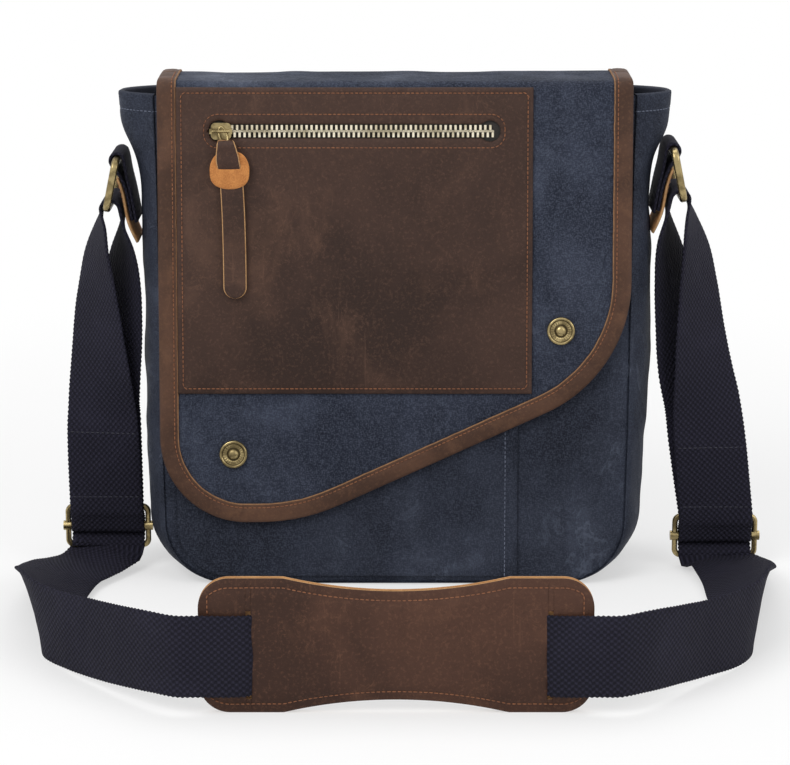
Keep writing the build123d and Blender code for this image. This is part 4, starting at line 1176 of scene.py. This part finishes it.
floorRuns = {
    "left": [((-157.5, -23.5, 6.2), (0.94, -0.3, -0.06)), ((-170, -49, 8), (0.96, -0.15, -0.24)),
             ((-173.5, -86, 12.2), (0.87, -0.11, -0.48)), ((-173.5, -119, 16.2), (0.6, -0.2, -0.76)),
             ((-173.5, -145, 19.4), (0.3, -0.1, -0.95)), ((-168.5, -165, 19.8), (0.1, 0, -0.99)),
             ((-156, -184, 20.8), (0.04, 0.03, -1)), ((-140, -203, 22.6), (0, 0, -1)),
             ((-124, -222, 25.2), (0, 0, -1)), ((-110, -236.5, 27.2), (0, 0, -1)),
             ((-98, -244.1, 27.5), (0, 0, -1)), ((-90, -244.4, 27.5), (0, 0, -1)),
             ((-72, -244.4, 27.5), (0, 0, -1)), ((-66.5, -243.6, 27.5), (0, 0, -1)),
             ((-62, -240.4, 27.5), (0, 0, -1)), ((-54, -240, 27.5), (0, 0, -1)),
             ((-1, -240, 27.5), (0, 0, -1))],
    "right": [((173.5, -22.5, 5.6), (0.95, 0.28, 0.05)), ((176.5, -48.5, 7.6), (0.968, 0.04, 0.25)),
              ((175, -80, 11.2), (0.878, 0.16, 0.452)), ((174.5, -113, 16), (0.612, 0.266, 0.745)),
              ((175, -141, 19.7), (0.28, 0.2, 0.94)), ((171.5, -162, 19.8), (0.1, 0, 0.99)),
              ((161, -181, 20.4), (0.04, 0.03, 1)), ((143.5, -202, 22.2), (0, -0.13, 0.99)),
              ((127.5, -221, 25), (0, -0.05, 1)), ((113, -236.5, 27.2), (0, 0, 1)),
              ((101, -244.1, 27.5), (0, 0, 1)), ((93, -244.4, 27.5), (0, 0, 1)),
              ((76, -244.4, 27.5), (0, 0, 1)),
              ((70.5, -243.6, 27.5), (0, 0, 1)), ((66, -240.4, 27.5), (0, 0, 1)),
              ((58, -240, 27.5), (0, 0, 1)),
              ((1, -240, 27.5), (0, 0, 1))]}


def turned(side, turn):
    return (math.cos(math.radians(turn)), side * math.sin(math.radians(turn)), 0)


def roundBar(z, bar, reach, start, stop, steps):
    middle = z + bar * 10.5
    return [(frameY + reach * math.cos(math.radians(a)), middle + reach * math.sin(math.radians(a)))
            for a in np.linspace(start, stop, steps)]


def placed(name, side, path, farX, farTurn):
    facts = adjusters[name]
    middle = facts["z"] + 10.5
    rows = []
    for y, z in path:
        share = min(max((z - middle) / (strapSizes["split"] - middle), 0), 1)
        rows.append(((facts["x"] + (farX - facts["x"]) * share, y, z), turned(side, farTurn * share ** 3)))
    return rows


def runningRows(name, side):             # from the hanging end down through the adjuster
    facts = adjusters[name]
    path = [(frameY - firstLayer, facts["top"]), (frameY - firstLayer, facts["z"] + 18.0)]
    path += roundBar(facts["z"], 1, firstLayer, 180, 180 + weave, 3)
    path += roundBar(facts["z"], 0, secondLayer, weave, -weave, 5)
    path += roundBar(facts["z"], -1, firstLayer, 180 - weave, 180, 3)
    return placed(name, side, path, facts["rear"], 14)


def sewnRows(name, side):                # front layer, folded round the middle bar and sewn back on itself
    facts = adjusters[name]
    shelf = facts["z"] + 10.5
    front, fold, rim = frameY - secondLayer - layerStep, frameY - secondLayer, secondLayer + layerStep
    path = [(front, facts["top"]), (front, (facts["top"] + shelf) / 2), (front, shelf)]
    path += [(frameY + rim * math.cos(math.radians(a)), shelf + rim * math.sin(math.radians(a)))
             for a in (202, 180 + weave)]
    path += roundBar(facts["z"], 0, firstLayer, 180, 360 + weave, 10)
    path += [(frameY + secondLayer * math.cos(math.radians(a)),
              shelf + secondLayer * math.sin(math.radians(a)))
             for a in (180 + weave, 200)]
    path += [(fold, shelf + 2), (fold, facts["top"] - 2)]
    return placed(name, side, path, facts["front"], 18)


def makeStrap(name, side):
    sizes, facts = strapSizes, adjusters[name]
    loop = [((x, y, z), turned(side, turn)) for x, y, z, turn in loops[name]]
    rows = runningRows(name, side)[::-1] + loop + sewnRows(name, side)
    stations = bandStations(rows)
    hanging = bandPiece(f"strapHanging_{name}", stations, sizes["half"], sizes["thick"], [webbing], 13,
                        sizes["serrate"], 0.25, 5 + side)
    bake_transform(hanging)
    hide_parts(f"strap_loop_{name}", f"strap_end_{name}")
    last = runningRows(name, side)[-2:]
    stations = bandStations(last + floorRuns[name])
    stations[:, 2] = np.maximum(stations[:, 2],
                                0.9 + np.abs(unit(stations[:, 3:6])[:, 2]) * (sizes["half"] + 0.3))
    floor = bandPiece(f"strapFloor_{name}", stations, sizes["half"], sizes["thick"], [webbing], 15,
                      sizes["serrate"], sizes["wave"], 15 + side)
    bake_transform(floor)
    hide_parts(f"strap_{name}", *(["strap_mid"] if side < 0 else []))
    makeBox(name, side)


def makeBox(name, side):                 # two stitched rows across the sewn end
    facts = adjusters[name]
    shelf = facts["z"] + 10.5
    front = frameY - secondLayer - layerStep - strapSizes["thick"] / 2 - 0.1
    low, high = shelf + 7.0, facts["top"] - 3.0
    paths = []
    for z in (low, high):
        share = min(max((z - shelf) / (strapSizes["split"] - shelf), 0), 1)
        x = facts["x"] + (facts["front"] - facts["x"]) * share
        way = np.array(turned(side, 18 * share ** 3))
        across = np.linspace(-16.2, 16.2, 30)
        paths.append(np.array([x, front, z]) + across[:, None] * way)
    piece = stitchPiece(f"strapStitches_{name}", paths, strapThread, 21, Pitch=2.6, **{"Thread Radius": 0.34})
    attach(piece, "strap_front")


for name, side in (("left", -1), ("right", 1)):
    makeStrap(name, side)
print("straps made")


# tabs that hold the rings
tabRows = [(132.6, -32.0), (135.3, -17.0), (137.2, -8.4), (138.6, 0.0), (139.6, 2.4), (142.0, 3.4),
           (144.4, 2.4),
           (145.4, 0.0), (145.0, -2.0), (139.9, -9.6), (137.3, -17.0), (134.8, -31.0)]
patchRows = [(132.2, -42.5), (134.8, -36.5), (137.0, -30.0), (139.5, -17.0), (141.9, -9.6)]
ringTops = {"left": 216.5, "right": 221.5}


def makeTab(name, side):
    top = ringTops[name]
    stations = bandStations([((side * x, 0, top + z), (0, 1, 0)) for x, z in tabRows])
    loop = bandPiece(f"ringTab_{name}", stations, 15.5, 1.5, [webbing], 13, 0.22, 0.1)
    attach(loop, "bag")
    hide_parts(f"tab_webbing_{name}")
    stations = bandStations([((side * x, 0, top + z), (0, -side, 0)) for x, z in patchRows], 1.6)
    share = stations[:, 6] / stations[-1, 6]
    halves = 14.5 + 2.5 * np.sin(math.pi * np.clip(share * 1.2 + 0.1, 0, 1))
    patch = bandPiece(f"tabPatch_{name}", stations, halves, 1.3, [leather, cutEdge, suede], 11, 0, 0.15, 3)
    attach(patch, "bag")
    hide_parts(f"tab_leather_{name}")
    rows = np.array([[side * (x + 0.9), 0, top + z + 0.3] for x, z in patchRows[1:]])
    paths = [rows + (0, y, 0) for y in (-13.5, 13.5)]
    piece = stitchPiece(f"tabStitches_{name}", paths, thread, 25)
    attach(piece, "bag")


for name, side in (("left", -1), ("right", 1)):
    makeTab(name, side)
print("tabs made")


# shoulder pad: two leather faces over a foam core
padSizes = {"middle": 0.5, "half": 88.5, "high": 63.0, "low": 0.2, "waist": 6.0, "corner": 14.0,
            "endLength": 38.0,
            "frontY": -242.9, "backY": -235.3, "slots": (-65.5, 69.5), "slotHalf": 20.6,
            "sheet": 1.75, "pinch": 1.6, "stitchIn": 4.2}


def padEdges(xs):
    sizes = padSizes
    inner = sizes["half"] - sizes["endLength"]
    off = np.abs(xs - sizes["middle"])
    big = (inner ** 2 + sizes["waist"] ** 2) / (2 * sizes["waist"])
    dip = np.where(off < inner, sizes["waist"] - big + np.sqrt(np.clip(big ** 2 - off ** 2, 0, None)), 0)
    near = np.clip(off - sizes["half"] + sizes["corner"], 0, sizes["corner"])
    turn = sizes["corner"] - np.sqrt(np.clip(sizes["corner"] ** 2 - near ** 2, 0, None))
    return sizes["low"] + dip + turn, sizes["high"] - dip - turn


def padPlace(flat, out):
    return np.stack([flat[:, 0], -out, flat[:, 1]], -1)


def padGrid(slotted):
    sizes = padSizes
    left, right = sizes["middle"] - sizes["half"], sizes["middle"] + sizes["half"]
    angles = np.radians(np.arange(0, 91, 6))
    ends = [left + sizes["corner"] * (1 - np.cos(angles)), right - sizes["corner"] * (1 - np.cos(angles))]
    cuts = [slot + np.array([-1.25, -1.1, 1.1, 1.25]) for slot in sizes["slots"]]
    xs = np.unique(np.round(np.concatenate([np.arange(left + 14, right - 14, 2.2), *ends, *cuts]), 3))
    xs = xs[np.concatenate([[True], np.diff(xs) > 0.05])]
    low, high = padEdges(xs)
    half = np.zeros_like(xs)
    if slotted:
        for slot in sizes["slots"]:
            half = np.where(np.abs(xs - slot) < 1.2, sizes["slotHalf"], half)
    return columnGrid(xs, low, high, rowShares(30, 1.7), np.full_like(xs, 27.5), half)


def padPuff(flat, stitched):
    sizes = padSizes
    low, high = padEdges(flat[:, 0])
    edge = np.minimum(flat[:, 1] - low, high - flat[:, 1])
    ends = sizes["half"] - np.abs(flat[:, 0] - sizes["middle"])
    rise = np.clip(np.minimum(edge, ends) / 9.0, 0, 1)
    soft = rise * rise * (3 - 2 * rise)
    field = np.stack([flat[:, 0], flat[:, 1], 0 * low], -1)
    inside = (np.abs(flat[:, 0] - 2) < 64) * np.clip((22 - np.abs(flat[:, 1] - 27.5)) / 5, 0, 1)
    row = 0.3 * np.exp(-((edge - sizes["stitchIn"]) / 0.9) ** 2) * stitched * (ends > 20)
    return soft, wander(field, 26.0, 51) * 0.5 * soft + inside * 0.5 - row


def makePad():
    sizes = padSizes

    def frontTop(flat):
        soft, wave = padPuff(flat, 1)
        return -sizes["frontY"] - sizes["pinch"] * (1 - soft) + wave - 0.1

    def frontLow(flat):
        return frontTop(flat) - sizes["sheet"]

    def backLow(flat):
        soft, wave = padPuff(flat, 1)
        return -sizes["backY"] + (sizes["pinch"] + 0.35) * (1 - soft) - wave * 0.5

    def backTop(flat):
        return backLow(flat) + sizes["sheet"]

    front = clothPiece("padFront", padGrid(True), padPlace, frontTop, frontLow, [padLeather, cutEdge],
                       (0, 1, 0), 0.3, 0.6)
    back = clothPiece("padBack", padGrid(False), padPlace, backTop, backLow, [padLeather, cutEdge, suede],
                      (2, 1, 0), 0.3,
                      0.6)

    def coreTop(flat):
        return frontLow(flat) + 0.02

    def coreLow(flat):
        return backTop(flat) - 0.02

    grid = padGrid(False)
    xs = np.unique(grid[0][:, 0])
    inner = xs[(xs > sizes["middle"] - sizes["half"] + 2.5) & (xs < sizes["middle"] + sizes["half"] - 2.5)]
    low, high = padEdges(inner)
    core = clothPiece("padCore", columnGrid(inner, low + 1.2, high - 1.2, rowShares(40, 3)), padPlace,
                      coreTop, coreLow,
                      [cutEdge], roll=0.0)
    reach = sizes["half"] - sizes["stitchIn"]
    xs = np.arange(sizes["middle"] - reach, sizes["middle"] + reach + 0.1, 1.4)
    low, high = padEdges(xs)
    low, high = low + sizes["stitchIn"], high - sizes["stitchIn"]
    rise = np.arange(low[0] + 1.4, high[0], 1.4)
    line = np.vstack([np.stack([xs, low], -1), np.stack([0 * rise + xs[-1], rise], -1),
                      np.stack([xs, high], -1)[::-1], np.stack([0 * rise + xs[0], rise], -1)[::-1]])
    paths = [padPlace(line, frontTop(line) + 0.12)]
    rows = stitchPiece("padStitches", paths, thread, 31)
    for piece, slot in ((front, "leather"), (back, "leather"), (core, "foam"), (rows, "leather")):
        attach(piece, "shoulder_pad")
    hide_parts("pad_front")
    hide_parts("pad_back")
    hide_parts("pad_core")


makePad()
print("pad made")


# zip pull: a strap of leather through the slider's bail and through a slit suede tongue
pullSizes = {"x": -87.5, "zip": 233.4, "thick": 1.4, "half": 5.9, "length": 84.0, "tongueX": 4.3,
             "tongueLow": 19.2, "tongueHalf": 10.0, "tongueHigh": 9.9, "wire": 0.55}


def pullBand(name, rows, halves, finishes, columns=7):
    below = (flapSizes["top"] - pullSizes["zip"]) / leanCos
    spots = planePlace(np.array([[pullSizes["x"] + x, below + s] for x, s, n in rows]),
                       np.array([n for x, s, n in rows]))
    stations = bandStations([(spot, (1, 0, 0)) for spot in spots], 0.8)
    piece = bandPiece(name, stations, halves(stations[:, 6], stations[-1, 6]), pullSizes["thick"], finishes,
                      columns,
                      0, 0.12, 8)
    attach(piece, "zip_pull")
    return piece


def makePull():
    sizes = pullSizes
    half = sizes["half"]

    def tailHalf(run, total):
        nearTop = np.clip(run / 9.0, 0, 1)
        rounding = np.clip((run - total + half) / half, 0, 0.996)
        return (3.9 + (half - 3.9) * nearTop ** 0.7) * np.sqrt(1 - rounding ** 2)

    tailRows = [(2.3, 5.0, 7.5), (2.5, 6.2, 8.5), (2.8, 8.2, 8.7), (3.1, 11.5, 8.2), (3.5, 15.0, 7.9),
                (4.0, 17.8, 6.9), (4.5, 20.6, 5.1), (5.0, 24.5, 4.9), (5.9, 40, 5.0), (6.4, 62, 4.6),
                (6.6, sizes["length"] + 0.5, 4.8)]
    tail = pullBand("pullTail", tailRows, tailHalf, [leather, cutEdge, suede])
    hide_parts("zip_pull_tail")

    def stubHalf(run, total):
        return 3.9 + (half - 4.6) * np.clip(run / 9.0, 0, 1) + 0 * total

    stub = pullBand("pullStub", [(2.3, 4.9, 7.1), (2.3, 5.2, 5.6), (2.7, 7.4, 4.4), (3.0, 10, 4.4),
                                 (3.3, 13, 4.4),
                                 (3.8, 16.5, 4.3)], stubHalf, [leather, rawEdge, suede])
    below = (flapSizes["top"] - sizes["zip"]) / leanCos
    turns = np.radians(np.arange(0, 181, 7.5))
    xs = -sizes["tongueHalf"] * np.cos(turns)
    shape = np.sqrt(np.clip(1 - (xs / sizes["tongueHalf"]) ** 2, 0, None))
    low, high = (-sizes["tongueHigh"] * shape ** 0.6,
                 sizes["tongueHigh"] * shape * (1 - 0.06 * np.cos(xs / 3.0)))
    grid = columnGrid(xs, low, high, rowShares(18, 0.8, (0.2, 0.5, 1.0, 1.8)))

    def tonguePlace(flat, out):
        curl = 0.8 * (flat[:, 0] / sizes["tongueHalf"]) ** 2 - 0.012 * flat[:, 1] ** 2
        spots = np.stack([flat[:, 0] * 1.0 + sizes["x"] + sizes["tongueX"],
                          below + sizes["tongueLow"] - flat[:, 1]], -1)
        return planePlace(spots, out + curl * 0.6)

    tongue = clothPiece("pullTongue", grid, tonguePlace, 6.95, 5.5, [suede, rawEdge], (0, 1, 0), 0.45, 0.6)
    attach(tongue, "zip_pull")
    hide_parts("zip_pull_tongue")
    turns = np.linspace(0, 2 * math.pi, 41)
    spots = np.stack([sizes["x"] + 1.1 - 1.1 * np.cos(turns) + 2.0 * np.sin(turns),
                      below + 2.1 - 4.3 * np.cos(turns)], -1)
    link = wireLoop("pullLink", planePlace(spots, 6.0 - 1.0 * np.cos(turns)), sizes["wire"], [brass])
    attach(link, "zip_pull")


def wireLoop(name, spots, radius, finishes):         # closed round wire through points
    ahead = unit(np.roll(spots[:-1], -1, 0) - np.roll(spots[:-1], 1, 0))
    facing = np.array([0.0, -leanCos, leanSin])
    out = unit(facing - ahead * (ahead @ facing)[:, None])
    side = np.cross(ahead, out)
    turns = np.linspace(0, 2 * math.pi, 11)[None, :, None]
    rings = spots[:-1, None] + radius * (np.cos(turns) * out[:, None] + np.sin(turns) * side[:, None])
    rings = np.concatenate([rings, rings[:1]])
    uv = np.zeros((rings.shape[0] * rings.shape[1], 2))
    return meshPiece(name, rings.reshape(-1, 3), gridFaces(*rings.shape[:2]), finishes, uv)


makePull()
print("zip pull made")


# finishes for the metal and board kept from the frame
keptFinishes = {"brass": (brass, ["zip_slider", "ring_left", "ring_right", "adjuster_frame_left",
                                  "adjuster_frame_right", "adjuster_bar_left", "adjuster_bar_right",
                                  "snap_socket_left", "snap_socket_right", "snap_stud_left",
                                  "snap_stud_right"]),
                "board": (boardFace, ["base_board"])}
for finish, nodes in keptFinishes.values():
    for node in nodes:
        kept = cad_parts[node]
        if not kept.material_slots:
            kept.data.materials.append(finish.material)
        for place in kept.material_slots:
            place.material = finish.material


# floor, light and camera
stageLook = {"floor": (0.93, 0.93, 0.93), "ambient": 0.50, "nearWhite": 0.52, "fadeFrom": 0.30,
             "fadeTo": 0.75}
floorMesh = bpy.data.meshes.new("floorSheet")
floorMesh.from_pydata([(-14, -14, 0), (14, -14, 0), (14, 14, 0), (-14, 14, 0)], [], [(0, 1, 2, 3)])
floor = bpy.data.objects.new("floorSheet", floorMesh)
bpy.context.scene.collection.objects.link(floor)
floorFinish = Finish("studioFloor", {"Base Color": stageLook["floor"], "Roughness": 0.9,
                                     "Specular IOR Level": 0.1})
floorMesh.materials.append(floorFinish.material)


def whitenFloor():                  # seen from the camera the floor turns white away from the bag's shadow
    tree = floorFinish.tree
    rays = tree.nodes.new("ShaderNodeLightPath")
    seen = Signal(tree, rays.outputs["Is Camera Ray"]).math("MAXIMUM",
                                                            Signal(tree, rays.outputs["Is Glossy Ray"]))
    seen = seen.math("MAXIMUM", Signal(tree, rays.outputs["Is Transmission Ray"]))
    spot = floorFinish.place()
    away = floorFinish.node("ShaderNodeVectorMath", {"operation": "LENGTH"}, {0: spot}, "Value")
    share = stageLook["nearWhite"] + away.fade(stageLook["fadeFrom"],
                                               stageLook["fadeTo"]) * (1 - stageLook["nearWhite"])
    glow = floorFinish.node("ShaderNodeEmission", {}, {"Color": (1, 1, 1), "Strength": 1.0})
    mixed = tree.nodes.new("ShaderNodeMixShader")
    out = next(node for node in tree.nodes if node.type == "OUTPUT_MATERIAL")
    plugIn(tree, mixed.inputs[0], seen * share)
    tree.links.new(floorFinish.shader.outputs[0], mixed.inputs[1])
    tree.links.new(glow.socket, mixed.inputs[2])
    tree.links.new(mixed.outputs[0], out.inputs["Surface"])


whitenFloor()


def makeWorld():
    world = bpy.data.worlds.new("studio")
    bpy.context.scene.world = world
    world.use_nodes = True
    tree = world.node_tree
    tree.nodes.clear()
    rays = tree.nodes.new("ShaderNodeLightPath")
    soft = tree.nodes.new("ShaderNodeBackground")
    white = tree.nodes.new("ShaderNodeBackground")
    soft.inputs["Color"].default_value = (1, 1, 1, 1)
    soft.inputs["Strength"].default_value = stageLook["ambient"]
    white.inputs["Color"].default_value = (1, 1, 1, 1)
    white.inputs["Strength"].default_value = 1.0
    seen = Signal(tree, rays.outputs["Is Camera Ray"]).math("MAXIMUM",
                                                            Signal(tree, rays.outputs["Is Transmission Ray"]))
    seen = seen.math("MAXIMUM", Signal(tree, rays.outputs["Is Glossy Ray"]))
    mix = tree.nodes.new("ShaderNodeMixShader")
    out = tree.nodes.new("ShaderNodeOutputWorld")
    tree.links.new(seen.socket, mix.inputs[0])
    tree.links.new(soft.outputs[0], mix.inputs[1])
    tree.links.new(white.outputs[0], mix.inputs[2])
    tree.links.new(mix.outputs[0], out.inputs["Surface"])


def addLamp(name, place, aim, size, power):
    lamp = bpy.data.lights.new(name, "AREA")
    lamp.shape, lamp.size, lamp.size_y, lamp.energy = "RECTANGLE", size[0], size[1], power
    holder = bpy.data.objects.new(name, lamp)
    holder.location = place
    holder.rotation_euler = (Vector(aim) - Vector(place)).to_track_quat("-Z", "Y").to_euler()
    bpy.context.scene.collection.objects.link(holder)


makeWorld()
lamps = {"keyLight": ((-1.1, -1.5, 1.7), (0, -0.05, 0.1), (1.3, 1.3), 24.0),
         "fillLight": ((1.6, -1.3, 1.1), (0, -0.05, 0.1), (1.6, 1.4), 12.0),
         "topLight": ((0.0, 0.5, 2.2), (0, -0.05, 0.1), (1.8, 1.2), 14.0)}
for name, (place, aim, size, power) in lamps.items():
    addLamp(name, place, aim, size, power)
bpy.context.scene.view_settings.view_transform = "Standard"

cameraPlan = {"pitch": 13.0, "distance": 1.450, "target": (0.0, -0.040, 0.106), "lens": 129.5}
camera = bpy.data.objects.new("camera", bpy.data.cameras.new("camera"))
camera.data.lens = cameraPlan["lens"]
camera.data.sensor_width = 36.0
tilt = math.radians(cameraPlan["pitch"])
camera.location = (Vector(cameraPlan["target"])
                   + cameraPlan["distance"] * Vector((0, -math.cos(tilt), math.sin(tilt))))
camera.rotation_euler = (math.radians(90.0) - tilt, 0, 0)
bpy.context.scene.collection.objects.link(camera)
bpy.context.scene.camera = camera
